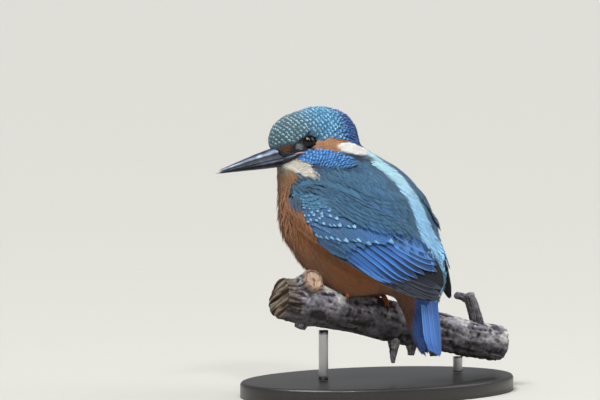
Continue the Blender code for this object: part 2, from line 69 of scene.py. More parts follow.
# Forms as centre, half sizes and pitch in degrees. A form off the middle has a twin on the other side.
HEAD_FORMS = {
    "cranium": ((0.0, 4.9, 2.0), (10.6, 17.6, 13.0), 0.0),
    "forehead": ((0.0, -5.8, 3.2), (7.8, 9.2, 9.8), 0.0),
    "nape": ((0.0, 14.0, -2.5), (9.6, 10.0, 11.5), -20.0),
    "cheek": ((5.6, 3.5, -4.2), (5.4, 11.5, 6.2), 0.0),
    "chin": ((0.0, -3.5, -7.2), (6.0, 9.0, 4.8), 0.0),
}
NECK_FORMS = {
    "throat": ((4.5, -16.0, 46.5), (11.0, 12.5, 13.0), 10.0),
    "neck": ((0.0, -4.5, 49.0), (15.5, 17.5, 13.0), 20.0),
}
TRUNK_FORMS = {
    "breast": ((0.0, -6.3, 32.0), (20.5, 23.5, 22.0), 0.0),
    "belly": ((0.0, 9.0, 18.5), (20.5, 29.0, 19.0), 0.0),
    "back": ((0.0, 16.5, 29.5), (17.0, 20.2, 33.0), 38.0),
    "scapulars": ((9.0, 16.0, 34.0), (9.5, 17.2, 24.5), 40.0),
    "shoulder": ((11.5, 8.5, 41.5), (8.5, 12.0, 14.0), 40.0),
    "rump": ((0.0, 33.0, 13.0), (11.5, 12.0, 20.0), 22.0),
    "thigh": ((10.0, 9.0, 8.5), (8.0, 14.0, 8.5), 0.0),
    "vent": ((0.0, 36.4, -6.0), (5.4, 6.2, 19.5), 17.0),
}
FORM_BLEND, NECK_BLEND = 5.0, 7.0
HEAD_PLANE = (np.array([1.0, -9.0, 53.0]), np.array([0.15, -0.40, 0.90]))
NECK_PLANE = (np.array([0.0, -2.0, 43.5]), np.array([0.0, -0.43, 0.90]))
SPINE_STATIONS = (0.0, 0.25, 0.5, 0.7, 0.85, 1.0)
SPINE_Y = (-2.0, 6.0, 17.0, 28.0, 35.5, 40.8)
SPINE_Z = (43.5, 28.0, 14.0, 4.5, -5.0, -20.5)
SPINE_FALL = (64.5, 58.0, 52.0, 54.0, 62.0, 72.0)

# A folded wing: middle line, outward direction, half widths, thickness and arch.
WING_LINE = np.array([[16.0, -13.0, 38.0], [29.0, 5.0, 35.5], [25.0, 33.0, 18.5], [4.2, 49.0, 1.2]])
WING_OUT = np.array([[0.86, -0.42, 0.28], [0.97, 0.10, 0.22], [0.80, 0.55, 0.24]])
WING_STATIONS = (0.0, 0.12, 0.3, 0.5, 0.68, 0.82, 0.94, 1.0)
WING_UPPER = (5.0, 8.5, 12.0, 13.5, 14.5, 13.8, 10.0, 5.0)
WING_LOWER = (5.0, 8.5, 10.0, 9.5, 8.5, 7.3, 5.5, 2.8)
WING_THICK = (2.2, 3.0, 3.2, 2.8, 2.2, 1.8, 1.4, 1.0)
WING_ARCH = 30.0
WING_CLEAR = 0.55
WING_LENGTH = 72.0

# The wing's feathers, in shares along its length and across its half width.
WING_QUILLS = 8  # primaries, and as many secondaries
PRIMARY_TIPS = ((0, 0.2, 0.4, 0.6, 1), (0.86, 0.93, 0.985, 1.01, 0.985), (-0.99, -0.95, -0.9, -0.45, 0.42))
SECONDARY_ENDS = (
    ((0.51, 0.54, 0.58, 0.61, 0.63), (-0.78, -0.5, -0.12, 0.18, 0.43)),
    ((0.76, 0.8, 0.835, 0.865, 0.9), (-1.0, -0.84, -0.42, 0.1, 0.55)),
)
TERTIAL_ENDS = (
    ((0.6, 0.58, 0.56, 0.55), (0.46, 0.58, 0.72, 0.88)),
    ((0.925, 0.915, 0.9, 0.87), (0.74, 0.88, 0.99, 1.03)),
)
# Width, bend, levels at root and tip, and roll of the wing's longest feathers.
QUILL_SIZES = {
    "primary": (5.2, 0.6, 0.3, 0.42, 0.18),
    "secondary": (4.6, 0.7, 0.5, 0.74, 0.2),
    "tertial": (4.8, -0.4, 0.35, 0.88, 0.18),
    "outer": (4.4, 0.4, 0.55, 0.88, 0.14),
}
OUTER_EDGE = (
    (0.38, -1.02), (0.5, -0.8), (0.54, -0.48), (0.58, -0.12), (0.61, 0.18), (0.64, 0.43), (0.67, 0.6),
)
COVERT_EDGES = (
    ((0.14, -1.0), (0.21, -0.7), (0.27, -0.74), (0.32, -0.72), (0.38, -0.62), (0.43, -0.42), (0.48, -0.3),
     (0.53, -0.02), (0.59, 0.14), (0.66, 0.42), (0.7, 0.56)),
    ((0.06, -1.0), (0.16, -0.6), (0.24, -0.32), (0.31, -0.15), (0.36, 0.0), (0.39, 0.07), (0.43, 0.18),
     (0.48, 0.32), (0.52, 0.45), (0.6, 0.68), (0.68, 1.0)),
    ((0.02, -0.9), (0.12, -0.42), (0.21, -0.15), (0.28, -0.02), (0.33, 0.16), (0.38, 0.3), (0.41, 0.43),
     (0.48, 0.66), (0.56, 1.0)),
    ((0.0, -0.4), (0.06, -0.15), (0.13, 0.0), (0.19, 0.03), (0.25, 0.08), (0.29, 0.2), (0.32, 0.38),
     (0.34, 0.53), (0.4, 0.8), (0.45, 1.0)),
)
# Rows of coverts from the quills up: kind, edge, gap, fall in degrees, length, width and scatter.
COVERT_ROWS = (
    ("greater", 0, 2.9, -9.0, 11.0, 4.2, 0.34),
    ("median", 1, 2.7, -15.0, 8.5, 3.8, 0.34),
    ("median", 2, 2.6, -18.0, 7.5, 3.6, 0.34),
    ("median", 3, 2.5, -18.0, 7.0, 3.5, 0.34),
    ("lesser", 3, 2.0, -18.0, 6.6, 3.4, 0.2),
)
WING_FRONT = (
    (0.15, 1.0), (0.09, 0.82), (0.08, 0.6), (0.09, 0.35), (0.12, 0.07), (0.14, -0.22), (0.18, -0.48),
    (0.22, -0.7), (0.27, -0.9), (0.33, -1.08),
)
SCAPULAR_EDGE = ((0.22, 0.98), (0.27, 0.8), (0.33, 0.6), (0.43, 0.47), (0.54, 0.5), (0.62, 0.62), (0.73, 1.0))

# The closed tail.
TAIL_LINE = np.array([[0.0, 41.0, 7.0], [0.0, 44.8, -8.0], [0.0, 45.2, -24.8]])
TAIL_HALF_WIDTHS = (4.8, 6.0, 6.2, 5.8, 4.4)
TAIL_ARCH = 6.5
TAIL_LENGTH = 33.0
# Tones of the tail's back (1) and front (-1): quills, their light edges, coverts and their light edges.
TAIL_TONES = {
    1: ("tail", "tail_light", "rump", "stripe"),
    -1: ("primary", "primary_light", "belly", "breast"),
}

# The bill, along -Y of the head's frame.
BILL_ROOT_Y, BILL_TIP_Y = -7.8, -42.0
BILL_STATIONS = (0.0, 0.2, 0.4, 0.65, 0.85, 0.96, 1.0)
BILL_HALF_WIDTHS = (5.2, 4.3, 3.2, 2.1, 1.25, 0.62, 0.25)
BILL_TOPS = (3.0, 2.4, 1.85, 0.85, -0.05, -0.65, -0.95)
BILL_BOTTOMS = (-6.3, -5.9, -5.0, -3.6, -2.5, -1.9, -1.6)
BILL_GAPE_Z, BILL_MEET_Z = -2.4, -1.3
BILL_SLIT = 0.3
JAW_STATIONS = (-13.6, -12.4, -10.4, -8.6, -6.4)
JAW_MOUTH = (-2.05, -1.75, -1.3, -1.1, -1.2)
JAW_TOPS = (1.6, 0.4, -0.25, -0.6, -1.0)
JAW_BOTTOMS = (-5.6, -4.8, -3.9, -2.8, -1.5)
# Small feathers over the bill's root: side, number, levels, shares along the bill there, tone and length.
BILL_TUFTS = (
    (1, 120, (0.35, 0.75), (0.05, 0.165), "mask", 2.2),
    (1, 90, (0.7, 1.0), (0.15, 0.2), "crown_front", 2.4),
    (-1, 320, (0.3, 1.0), (0.04, 0.17), "throat", 4.0),
)

# Markings: lines as stations and values, and ovals of the face as middle, half sizes, tilt and soft edge.
CROWN_EDGE = (
    (-16, -12.5, -9, -5, -1, 2.5, 5, 9, 14, 18, 24),
    (1.6, 3.1, 3.0, 3.3, 3.8, 1.7, 1.7, 1.5, -0.8, -4.6, -6.2),
)
MANTLE_FRONT = ((-19, -16.5, -13.5, -9.5, -4.5, 0, 4), (39.5, 45.5, 49.0, 51.5, 54.0, 58.0, 72.0))
STRIPE_HALF = ((-6, 8, 20, 30, 38, 46), (2.4, 4.0, 4.9, 4.2, 4.8, 7.4))
THROAT_TOP = ((-15, -11, -8, -6, -4), (-3.6, -3.8, -4.2, -5.6, -9.0))
THROAT_FOOT = ((-16, -12, -8.6, -6, -3), (-8.4, -9.2, -10.4, -11.0, -10.6))
FACE_OVALS = {
    "lore": ((-11.6, 1.5), (2.5, 1.6), 8, 0.35),
    "mask": ((-6.5, 1.6), (9.5, 3.4), 6, 0.3),
    "fleck": ((-6.6, 1.4), (1.2, 1.3), 30, 0.6),
    "ear": ((5.4, -0.9), (6.9, 2.7), -14, 0.25),
    "ear_top": ((4.6, 0.6), (4.0, 1.5), -4, 0.35),
    "neck": ((13.9, -3.9), (6.2, 2.25), -13, 0.22),
    "under_neck": ((13.0, -6.9), (6.0, 1.5), -18, 0.5),
    "malar": ((0.5, -4.9), (9.3, 3.2), -17, 0.18),
    "under_malar": ((0.8, -8.2), (8.6, 1.3), -16, 0.4),
}
# Zones of the face in the order they are laid on, with the tones of their ground and of their tips.
FACE_TONES = (
    ("mask", "mask", "mask"),
    ("lore", "lore", "ear"),
    ("fleck", "fleck", "fleck"),
    ("under_neck", "mask", "mantle"),
    ("under_malar", "mask", "malar"),
    ("throat", "throat", "throat"),
    ("ear", "ear", "ear_light"),
    ("neck", "white", "white"),
    ("malar", "malar", "malar_light"),
)

# The branch, its side shoots and the feet on it.
BRANCH_MIDDLE = np.array([0.0, 8.65])
BRANCH_ALONG = np.array([-0.883, 0.469])
BRANCH_STATIONS = (-40.0, -30.0, -12.0, 8.0, 30.0, 50.0, 68.0)
BRANCH_DROP = (0.3, -1.8, -6.0, -10.6, -16.0, -20.6, -24.4)
BRANCH_RADII = (8.4, 9.2, 8.8, 8.4, 8.3, 7.9, 7.3)
BARK_SWELL = 1.06
SHOOTS = {
    "knot": (-31.5, 4.8, (0.1, 0.85, 0.5), 9.5, 5.2, 4.9, 0.0),
    "heel": (-27.0, -4.0, (-0.2, 0.1, -1.0), 7.0, 4.4, 2.4, 0.0),
    "spur": (16.5, -3.5, (-0.05, 0.35, -0.9), 14.5, 4.4, 0.8, 0.0),
    "thorn": (25.0, -3.5, (0.05, 0.25, -1.0), 8.8, 4.2, 1.3, 0.0),
    "twig": (57.0, 3.0, (-0.5, 0.1, 1.0), 17.0, 3.4, 2.4, -2.0),
    "nub": (49.5, 16.4, (-1.0, 0.15, 0.05), 8.0, 2.2, 1.5, 0.0),
}
FOOT_PLACES = {"left": (-13.0, 9.0), "right": (5.0, -7.0)}
TARSUS_RADIUS, TOE_RADIUS, CLAW_RADIUS = 1.3, 1.0, 0.7
TOE_LAYOUT = {
    "inner": (-2.4, 1.0, 84.0),
    "middle": (0.0, 1.0, 108.0),
    "outer": (2.5, 1.0, 100.0),
    "hind": (-0.6, -1.0, 58.0),
}
TOE_TAPER = np.array([1.0, 1.0, 1.0, 0.96, 1.0, 0.9, 0.8])
GAP = 0.35
BILL_ROOM = (4.6, -9.0, 2.2, -5.9)  # kept free of feathers: half width, rear, top and bottom
EYE_ROOM, TAIL_ROOM = 0.75, 5.5
CALLUS_LIP = ((0.98, 0.45), (0.9, 0.72), (0.82, 0.62), (0.78, 0.25), (0.76, -0.2))

GRID_LOW, GRID_HIGH, GRID_STEP = np.array([-33.75, -42.0, -33.0]), np.array([36.0, 55.0, 82.0]), 0.75
FARTHEST = 46.0  # past the coat, from anywhere inside the bird
SEED = 7
PATCH = 0.003  # of each vane on the unwrap
ROW_JITTER = 0.18
LID_SIDES, BARK_SIDES = 48, 210
SKIN_RINGS, SKIN_SIDES = 170, 144
SHEET_RINGS, SHEET_SIDES, HEAD_RINGS = 110, 120, 70
UNWRAP_WING, UNWRAP_TAIL = 16.0, 8.0  # half heights of the unwrap, in flat millimetres
TAIL_COVERT_SPAN = 4.6  # half the width of the tail's row of coverts
ROW_STEP = 2.6  # between the upper rows of wing coverts
UP = np.array([0.0, 0.0, 1.0])
PUPIL, EYE_RIM = np.array([0.002, 0.002, 0.002]), np.array([0.004, 0.003, 0.003])
VIEW_OFFSET = (-18.9, 39.1)  # from the grip to the middle of the view, to the right and up
BASE_LONG, BASE_SHORT, BASE_BEVEL = 62.0, 42.0, 1.4


# Curves and fields


def through(stations, values, at):
    """A smooth curve through named values: cubic pieces with slopes taken from the neighbours."""
    x, y = np.asarray(stations, float), np.asarray(values, float)
    slopes = np.gradient(y, x, axis=0)
    at = np.clip(np.asarray(at, float), x[0], x[-1])
    i = np.clip(np.searchsorted(x, at, side="right") - 1, 0, len(x) - 2)
    width = x[i + 1] - x[i]
    t = (at - x[i]) / width
    rise = (2 * t**3 - 3 * t**2 + 1) * y[i] + (3 * t**2 - 2 * t**3) * y[i + 1]
    return rise + width * ((t**3 - 2 * t**2 + t) * slopes[i] + (t**3 - t**2) * slopes[i + 1])


def bezier(points, at):
    """A point of a Bezier curve, and its direction, at each share of its length in at."""
    at = np.asarray(at, float)[:, None]

    def mix(corners):
        order = len(corners) - 1
        shares = [math.comb(order, k) * at**k * (1 - at) ** (order - k) for k in range(order + 1)]
        return sum(share * corner for share, corner in zip(shares, corners))

    return mix(points), unit(mix(np.diff(points, axis=0)))


def unit(vectors):
    return vectors / np.maximum(np.linalg.norm(vectors, axis=-1, keepdims=True), 1e-12)


def dot(first, second):
    return (first * second).sum(axis=-1, keepdims=True)


def between(at, stations, values):
    """Straight steps between rows of values, read at places along their stations."""
    return np.stack([np.interp(at, stations, column) for column in values.T], axis=-1)


def crossed(first, second):
    """Two lines of numbers crossed into a grid, each as one flat array."""
    return (values.ravel() for values in np.meshgrid(first, second, indexing="ij"))


def evenly(count):
    """Even steps from 0 to 1."""
    return np.linspace(0, 1, count)


def circle(count):
    """Even angles once round, from 0."""
    return np.linspace(0, 2 * math.pi, count, endpoint=False)


def wheel(first, second, count):
    """Directions once round: first * cos(angle) + second * sin(angle)."""
    angles = circle(count)[:, None]
    return first[..., None, :] * np.cos(angles) + second[..., None, :] * np.sin(angles)


def walked(line):
    """The distance walked along a line to each of its points."""
    return np.append(0.0, np.cumsum(np.linalg.norm(np.diff(line, axis=0), axis=1)))


def turn(axis, degrees):
    """The matrix of a right-handed turn about X, Y or Z."""
    c, s = math.cos(math.radians(degrees)), math.sin(math.radians(degrees))
    i, j = {"X": (1, 2), "Y": (2, 0), "Z": (0, 1)}[axis]
    matrix = np.eye(3)
    matrix[i, i] = matrix[j, j] = c
    matrix[i, j], matrix[j, i] = -s, s
    return matrix


HEAD_TURN = turn("Z", HEAD_YAW) @ turn("X", HEAD_PITCH)


def from_head(points):
    """Points of the head's frame in the bird's frame."""
    return np.asarray(points) @ HEAD_TURN.T + HEAD_CENTRE


def to_head(points):
    return (points - HEAD_CENTRE) @ HEAD_TURN


def middle_of(node):
    """The middle of a solid's box, in millimetres on the floor's frame."""
    low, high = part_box(node)
    return (np.array(low) + np.array(high)) / 2 / MM


TO_FLOOR = (middle_of("eye_left") + middle_of("eye_right")) / 2 - from_head(EYE_PLACE * [0, 1, 1])


def ellipsoid(points, centre, radii, pitch):
    local = (points - np.array(centre, points.dtype)) @ turn("X", pitch).astype(points.dtype)
    near = np.linalg.norm(local / np.array(radii, points.dtype), axis=-1)
    steep = np.linalg.norm(local / np.square(np.array(radii, points.dtype)), axis=-1)
    return near * (near - 1) / np.maximum(steep, 1e-9)


def melt(first, second, width):
    """The union of two fields, rounded where they meet over about this width."""
    share = np.clip(0.5 + 0.5 * (second - first) / width, 0, 1)
    return second * (1 - share) + first * share - width * share * (1 - share)


def together(points, forms, width):
    fields = (ellipsoid(points, *form) for form in forms.values())
    return functools.reduce(lambda first, second: melt(first, second, width), fields)


def mirrored(points):
    return np.concatenate([np.abs(points[..., :1]), points[..., 1:]], axis=-1)


def bird(points):
    """The field of head, neck and trunk in one."""
    head = together(mirrored(to_head(points).astype(points.dtype)), HEAD_FORMS, FORM_BLEND)
    trunk = together(mirrored(points), TRUNK_FORMS, FORM_BLEND)
    neck = together(points, NECK_FORMS, FORM_BLEND)
    return melt(melt(head, neck, NECK_BLEND), trunk, NECK_BLEND)


def grid_points():
    axes = [np.arange(low, high, GRID_STEP, dtype=np.float32) for low, high in zip(GRID_LOW, GRID_HIGH)]
    return np.stack(np.meshgrid(*axes, indexing="ij"), axis=-1)


def with_slope(values):
    return np.stack([values, *np.gradient(values, GRID_STEP)], axis=-1)


@functools.lru_cache(maxsize=None)
def bare_grid():
    """The body's field and its slope along X, Y and Z at the points of a fine grid."""
    return with_slope(bird(grid_points()))


@functools.lru_cache(maxsize=None)
def dressed_grid():
    """The same with both folded wings on the body, melted in: a wing is a slab about its outer face."""
    along, across = crossed(evenly(121), np.linspace(-1, 1, 41))
    inner, outward = wing_sheet(along, across)
    thick = wing_thickness(along, across)
    outer = inner + outward * thick[:, None]
    tree = kdtree.KDTree(len(outer))
    for i, point in enumerate(outer.tolist()):
        tree.insert(point, i)
    tree.balance()
    body = bare_grid()[..., 0]
    points = grid_points()
    inside = (points > outer.min(axis=0) - 3).all(axis=-1) & (points < outer.max(axis=0) + 3).all(axis=-1)
    near = inside & (body > -1.5) & (body < 8)
    found = points[near].astype(float)
    nearest = np.array([tree.find(point)[1] for point in found.tolist()])
    away = found - outer[nearest]
    high = (away * outward[nearest]).sum(axis=1)
    aside = np.sqrt(np.maximum((away**2).sum(axis=1) - high**2, 0)) - 0.6
    slab = np.full(body.shape, 9.0, np.float32)
    slab[near] = np.maximum.reduce([high, -high - thick[nearest] - 0.8, aside])
    middle = int(round(-GRID_LOW[0] / GRID_STEP))
    slab[:middle] = slab[middle + 1:2 * middle + 1][::-1]
    return with_slope(melt(body, slab, 3.0).astype(np.float32))


def read(grid, points):
    """Values of a grid of fields at points, mixed from the eight corners round each."""
    at = np.clip((points - GRID_LOW) / GRID_STEP, 0, np.array(grid.shape[:3]) - 1.001)
    cell = at.astype(int)
    share = (at - cell).astype(np.float32)
    found = 0.0
    for corner in np.ndindex(2, 2, 2):
        weight = np.prod(np.where(corner, share, 1 - share), axis=-1)
        i, j, k = (cell + corner).reshape(-1, 3).T
        found = found + weight[..., None] * grid[i, j, k].reshape(*cell.shape[:-1], -1)
    return found


def settle(points, level, grid, times=2):
    """Points moved square to the surface until they lie at a level over it. Returns them and the normals."""
    for _ in range(times):
        value = read(grid, points)
        slope = value[..., 1:]
        steep = np.maximum((slope**2).sum(axis=-1, keepdims=True), 0.2)
        points = points + slope * np.clip((np.asarray(level) - value[..., 0])[..., None] / steep, -3, 3)
    return points, unit(slope.astype(float))


def reach(centres, ways, level, farthest, grid):
    """Where rays from inside meet the surface at a level: a coarse walk outwards, then halving."""
    low = np.zeros(ways.shape[:-1])
    high = np.full(low.shape, farthest)
    found = np.zeros(low.shape, bool)
    for distance in np.linspace(0, farthest, 50)[1:]:
        outside = ~found & (read(grid, centres + ways * distance)[..., 0] > level)
        high = np.where(outside, distance, high)
        found |= outside
        low = np.where(found, low, distance)
    for _ in range(9):
        middle = (low + high) / 2
        inside = read(grid, centres + ways * middle[..., None])[..., 0] < level
        low, high = np.where(inside, middle, low), np.where(inside, high, middle)
    return centres + ways * low[..., None]


# Sheets: the body, wings and tail as functions of two parameters


def spine(share):
    """The spine's points and the directions that its cross-sections face, from the neck to the vent."""
    fall = np.radians(through(SPINE_STATIONS, SPINE_FALL, share))
    y, z = (through(SPINE_STATIONS, values, share) for values in (SPINE_Y, SPINE_Z))
    return np.stack([0 * share, y, z], axis=1), np.stack([0 * fall, -np.cos(fall), np.sin(fall)], axis=1)


def rings_about(centres, facing, sides, level):
    """Rings of points where rays square to each facing direction meet the body: radius as a function of the
    ring and of the angle round it, starting over the bird's left."""
    first = unit(np.cross(np.cross(facing, [1.0, 0.0, 0.0]), facing))
    ways = wheel(first, np.cross(facing, first), sides)
    return reach(np.broadcast_to(centres[:, None], ways.shape), ways, level, FARTHEST, bare_grid())


def body_stations(count):
    """Middles and facing directions of cross-sections from the vent's tip to the crown, as one swinging
    path."""
    trunk, trunk_way = spine(np.linspace(1, 0, int(count * 0.55)))
    step = evenly(int(count * 0.12))[1:, None]
    high, low = unit(HEAD_PLANE[1]), unit(NECK_PLANE[1])
    neck_way = unit(low * (1 - step) + high * step)
    neck = NECK_PLANE[0] * (1 - step) + HEAD_PLANE[0] * step
    top = reach(HEAD_CENTRE[None], high[None], -1.0, 30.0, bare_grid())[0]
    rise = np.sin(np.linspace(0, math.pi / 2, int(count * 0.33)))[1:]
    head = bezier(np.stack([HEAD_PLANE[0], HEAD_CENTRE + high, top - high * 0.05]), rise)[0]
    facing = np.concatenate([trunk_way, neck_way, np.broadcast_to(high, head.shape)])
    return np.concatenate([trunk, neck, head]), facing


def head_rings(rings, sides):
    """The head seen from its middle, as rings round the bill's axis from the bill back to the nape."""
    side, ahead, up = (HEAD_TURN @ way for way in ([1.0, 0.0, 0.0], [0.0, -1.0, 0.0], [0.0, 0.0, 1.0]))
    lean = np.linspace(0.12, math.pi - 0.015, rings)[:, None, None]
    ways = np.cos(lean) * ahead + np.sin(lean) * wheel(side, up, sides)
    return reach(np.broadcast_to(from_head([0.0, 2.0, -0.5]), ways.shape), ways, 0.0, FARTHEST, bare_grid())


def wing_thickness(along, across):
    return through(WING_STATIONS, WING_THICK, along) * np.clip(1.15 - np.abs(across) ** 3, 0.35, 1)


def wing_half(along, across):
    """The wing's half width above or below its middle line."""
    upper, lower = (through(WING_STATIONS, edge, along) for edge in (WING_UPPER, WING_LOWER))
    return np.where(across > 0, upper, lower)


def wing_sheet(along, across):
    """The folded wing's inner face and outward direction: an arched sheet, pushed out clear of the trunk."""
    middle, way = bezier(WING_LINE, along)
    outward = bezier(WING_OUT, along)[0]
    outward = unit(outward - way * dot(outward, way))
    upward = np.cross(outward, way)
    upward = upward * np.sign(upward[:, 2:])
    offset = (wing_half(along, across) * across)[:, None]
    points = middle + upward * offset - outward * offset**2 / (2 * WING_ARCH)
    for _ in range(6):
        points = points + outward * np.clip(WING_CLEAR - read(bare_grid(), points)[:, :1], 0, 5)
    return points, outward


def tail_half(along):
    return through(evenly(len(TAIL_HALF_WIDTHS)), TAIL_HALF_WIDTHS, along)


def tail_sheet(along, across):
    """The tail's middle sheet and its backward direction: a blade arched like a roof tile."""
    middle, way = bezier(TAIL_LINE, along)
    backward = unit(np.cross(np.array([1.0, 0, 0]), way))
    sideways = (tail_half(along) * across)[:, None]
    points = middle - backward * sideways**2 / (2 * TAIL_ARCH) + sideways * [1.0, 0.0, 0.0]
    return points, unit(backward + sideways / TAIL_ARCH * [1.0, 0.0, 0.0])


def grain(points, scale, seed=0):
    """A slow, even wander between -1 and 1 over points: sines along three skewed axes, multiplied in
    pairs."""
    x, y, z = np.moveaxis(points @ (turn("X", 37 + seed * 11) @ turn("Z", 53 + seed * 17)) / scale, -1, 0)
    broad = np.sin(2.1 * x + 1.3 * np.sin(1.7 * y + seed)) * np.cos(2.3 * z + 1.1 * np.sin(1.9 * x))
    return broad * 0.7 + 0.3 * np.sin(4.1 * y + 2.0 * np.sin(2.9 * z))


# Meshes


def to_metres(points):
    return (points + TO_FLOOR) * MM


def build(name, points, triangles, tint=None, flat=None, extras=None, unwrap=None):
    """A mesh object from arrays: points in millimetres of the bird's frame, and triangles that face
    outwards."""
    mesh = bpy.data.meshes.new(name)
    points, triangles = np.asarray(points, float).reshape(-1, 3), np.asarray(triangles).reshape(-1, 3)
    mesh.vertices.add(len(points))
    mesh.vertices.foreach_set("co", to_metres(points).astype(np.float32).ravel())
    mesh.loops.add(triangles.size)
    mesh.loops.foreach_set("vertex_index", triangles.astype(np.int32).ravel())
    mesh.polygons.add(len(triangles))
    mesh.polygons.foreach_set("loop_start", np.arange(0, triangles.size, 3, dtype=np.int32))
    mesh.polygons.foreach_set("use_smooth", np.ones(len(triangles), bool) if flat is None else ~flat)
    mesh.update(calc_edges=True)
    for label, values in ({"tint": tint} | (extras or {})).items():
        if values is None:
            continue
        values = np.asarray(values, np.float32).reshape(len(points), -1)
        if label == "vane":
            mesh.attributes.new(label, "FLOAT_VECTOR", "POINT").data.foreach_set("vector", values.ravel())
            continue
        if values.shape[1] == 3:
            values = np.concatenate([values, np.ones((len(points), 1), np.float32)], axis=1)
        mesh.color_attributes.new(label, "FLOAT_COLOR", "POINT").data.foreach_set("color", values.ravel())
    if unwrap is not None:
        layer = mesh.uv_layers.new(name="OFBake")
        layer.uv.foreach_set("vector", np.asarray(unwrap, np.float32)[triangles.ravel()].ravel())
    made = bpy.data.objects.new(name, mesh)
    bpy.context.scene.collection.objects.link(made)
    return made


def quads(rings, sides, closed=True):
    """Triangles of a grid of rings, facing out when the rings run anticlockwise about their path."""
    last = sides if closed else sides - 1
    i, j = np.meshgrid(np.arange(rings - 1), np.arange(last), indexing="ij")
    k = (j + 1) % sides
    a, b, c, d = i * sides + j, i * sides + k, (i + 1) * sides + k, (i + 1) * sides + j
    return np.stack([np.stack([a, b, c], -1), np.stack([a, c, d], -1)], axis=2).reshape(-1, 3)


def tube(rings):
    """Points and triangles of a closed tube through equal rings, with a point in the middle of each end."""
    count, sides = rings.shape[:2]
    points = np.concatenate([rings.reshape(-1, 3), rings[[0, -1]].mean(axis=1)])
    j = np.arange(sides)
    k = (j + 1) % sides
    start = np.stack([np.full(sides, count * sides), k, j], axis=1)
    top = (count - 1) * sides
    end = np.stack([np.full(sides, count * sides + 1), top + j, top + k], axis=1)
    return facing_out(points, np.concatenate([quads(count, sides), start, end]))


def facing_out(points, faces):
    """The same closed surface, turned inside out if its volume comes out negative."""
    corners = points[faces]
    volume = np.einsum("ij,ij->i", corners[:, 0], np.cross(corners[:, 1], corners[:, 2])).sum()
    return points, faces if volume > 0 else faces[:, ::-1]


def joined(*shapes):
    """Several (points, faces, ...) shapes as one, with any further arrays stacked too."""
    starts = np.cumsum([0] + [len(shape[0]) for shape in shapes[:-1]])
    faces = np.concatenate([shape[1] + start for shape, start in zip(shapes, starts)])
    rest = [np.concatenate(arrays) for arrays in zip(*(shape[2:] for shape in shapes))]
    return (np.concatenate([shape[0] for shape in shapes]), faces, *rest)


def round_rings(line, radii, sides, start=(0.0, 0.0, 1.0), waves=1.0):
    """Rings about a line: centre + radius * waves * (first * cos(angle) + second * sin(angle))."""
    ways = unit(np.gradient(line, axis=0))
    first = unit(np.asarray(start) - ways * dot(np.asarray(start), ways))
    return line[:, None] + (radii[:, None] * waves)[..., None] * wheel(first, np.cross(ways, first), sides)


# Feathers


class Form:
    """The outline of a vane: half widths at stations along it, the columns across it, how far the tip's
    middle runs on past its sides, and how far every other barb at the tip stops short. A vane is a closed
    lens: a cupped upper grid, and an underside that spans it from edge to edge."""

    def __init__(self, stations, halves, columns, tongue, fringe):
        self.stations, self.halves = np.array(stations), np.array(halves)
        self.columns = np.linspace(-1, 1, columns)
        s, c = np.meshgrid(self.stations, self.columns, indexing="ij")
        barb = np.where(np.arange(columns) % 2 == 0, 1.0, 0.0) * (s >= self.stations[-2] - 1e-6)
        short = tongue * c**2 * s**2 + fringe * barb * s
        rows, cols = s.shape
        index = np.arange(rows * cols).reshape(rows, cols)
        edge = np.concatenate([index[:, 0], index[:, -1], index[0, 1:-1], index[-1, 1:-1]])
        self.upper = rows * cols
        self.index = np.concatenate([index.ravel(), edge])
        self.station = np.repeat(np.arange(rows), cols)[self.index]
        self.c = c.ravel()[self.index]
        self.s = (s * (1 - short)).ravel()[self.index]
        self.shift = (-s * short).ravel()[self.index]
        left = self.upper + np.arange(rows)
        right = left + rows
        root = np.concatenate([[left[0]], right[-1] + 1 + np.arange(cols - 2), [right[0]]])
        tip = np.concatenate([[left[-1]], right[-1] + cols - 1 + np.arange(cols - 2), [right[-1]]])
        top = quads(rows, cols, closed=False)
        under = np.concatenate([
            np.stack([left[:-1], left[1:], right[1:]], axis=1),
            np.stack([left[:-1], right[1:], right[:-1]], axis=1),
            np.stack([np.full(cols - 2, root[0]), root[2:], root[1:-1]], axis=1),
            np.stack([np.full(cols - 2, tip[0]), tip[1:-1], tip[2:]], axis=1),
        ])
        self.faces = np.concatenate([top, under])
        self.flat = np.arange(len(self.faces)) >= len(top)


SCALE = Form((0, 0.4, 0.66, 0.84, 0.95, 1), (0.5, 0.85, 1, 0.96, 0.82, 0.6), 7, 0.16, 0.0)
BARB = Form((0, 0.4, 0.75, 1), (0.7, 1, 0.8, 0.12), 3, 0.0, 0.0)
TUFT = Form((0, 0.3, 0.6, 0.85, 1), (0.6, 1, 1, 0.8, 0.55), 7, 0.2, 0.16)
PLUME = Form((0, 0.25, 0.5, 0.72, 0.9, 1), (0.5, 0.9, 1, 0.9, 0.66, 0.42), 9, 0.2, 0.04)
COVERT = Form((0, 0.3, 0.55, 0.75, 0.88, 0.96, 1), (0.6, 0.9, 1, 0.98, 0.84, 0.62, 0.42), 9, 0.1, 0.02)
QUILL = Form((0, 0.2, 0.4, 0.6, 0.75, 0.87, 0.95, 1), (0.7, 0.9, 1, 1, 0.95, 0.8, 0.58, 0.34), 9, 0.06, 0.01)
WING_KINDS = {"primary": QUILL, "secondary": QUILL, "tertial": QUILL, "lesser": SCALE}  # the rest: coverts


def vanes(line, side, widths, form):
    """Points of many vanes: centre line + side * width * half * c, run back along the line near the tip's
    edges."""
    way = unit(line[:, -1:] - line[:, -2:-1])
    length = np.linalg.norm(np.diff(line, axis=1), axis=-1).sum(axis=1)[:, None, None]
    at = form.station
    across = (form.c * form.halves[at])[None, :, None] * widths[:, None, None] / 2
    return line[:, at] + side[:, at] * across + way * form.shift[None, :, None] * length


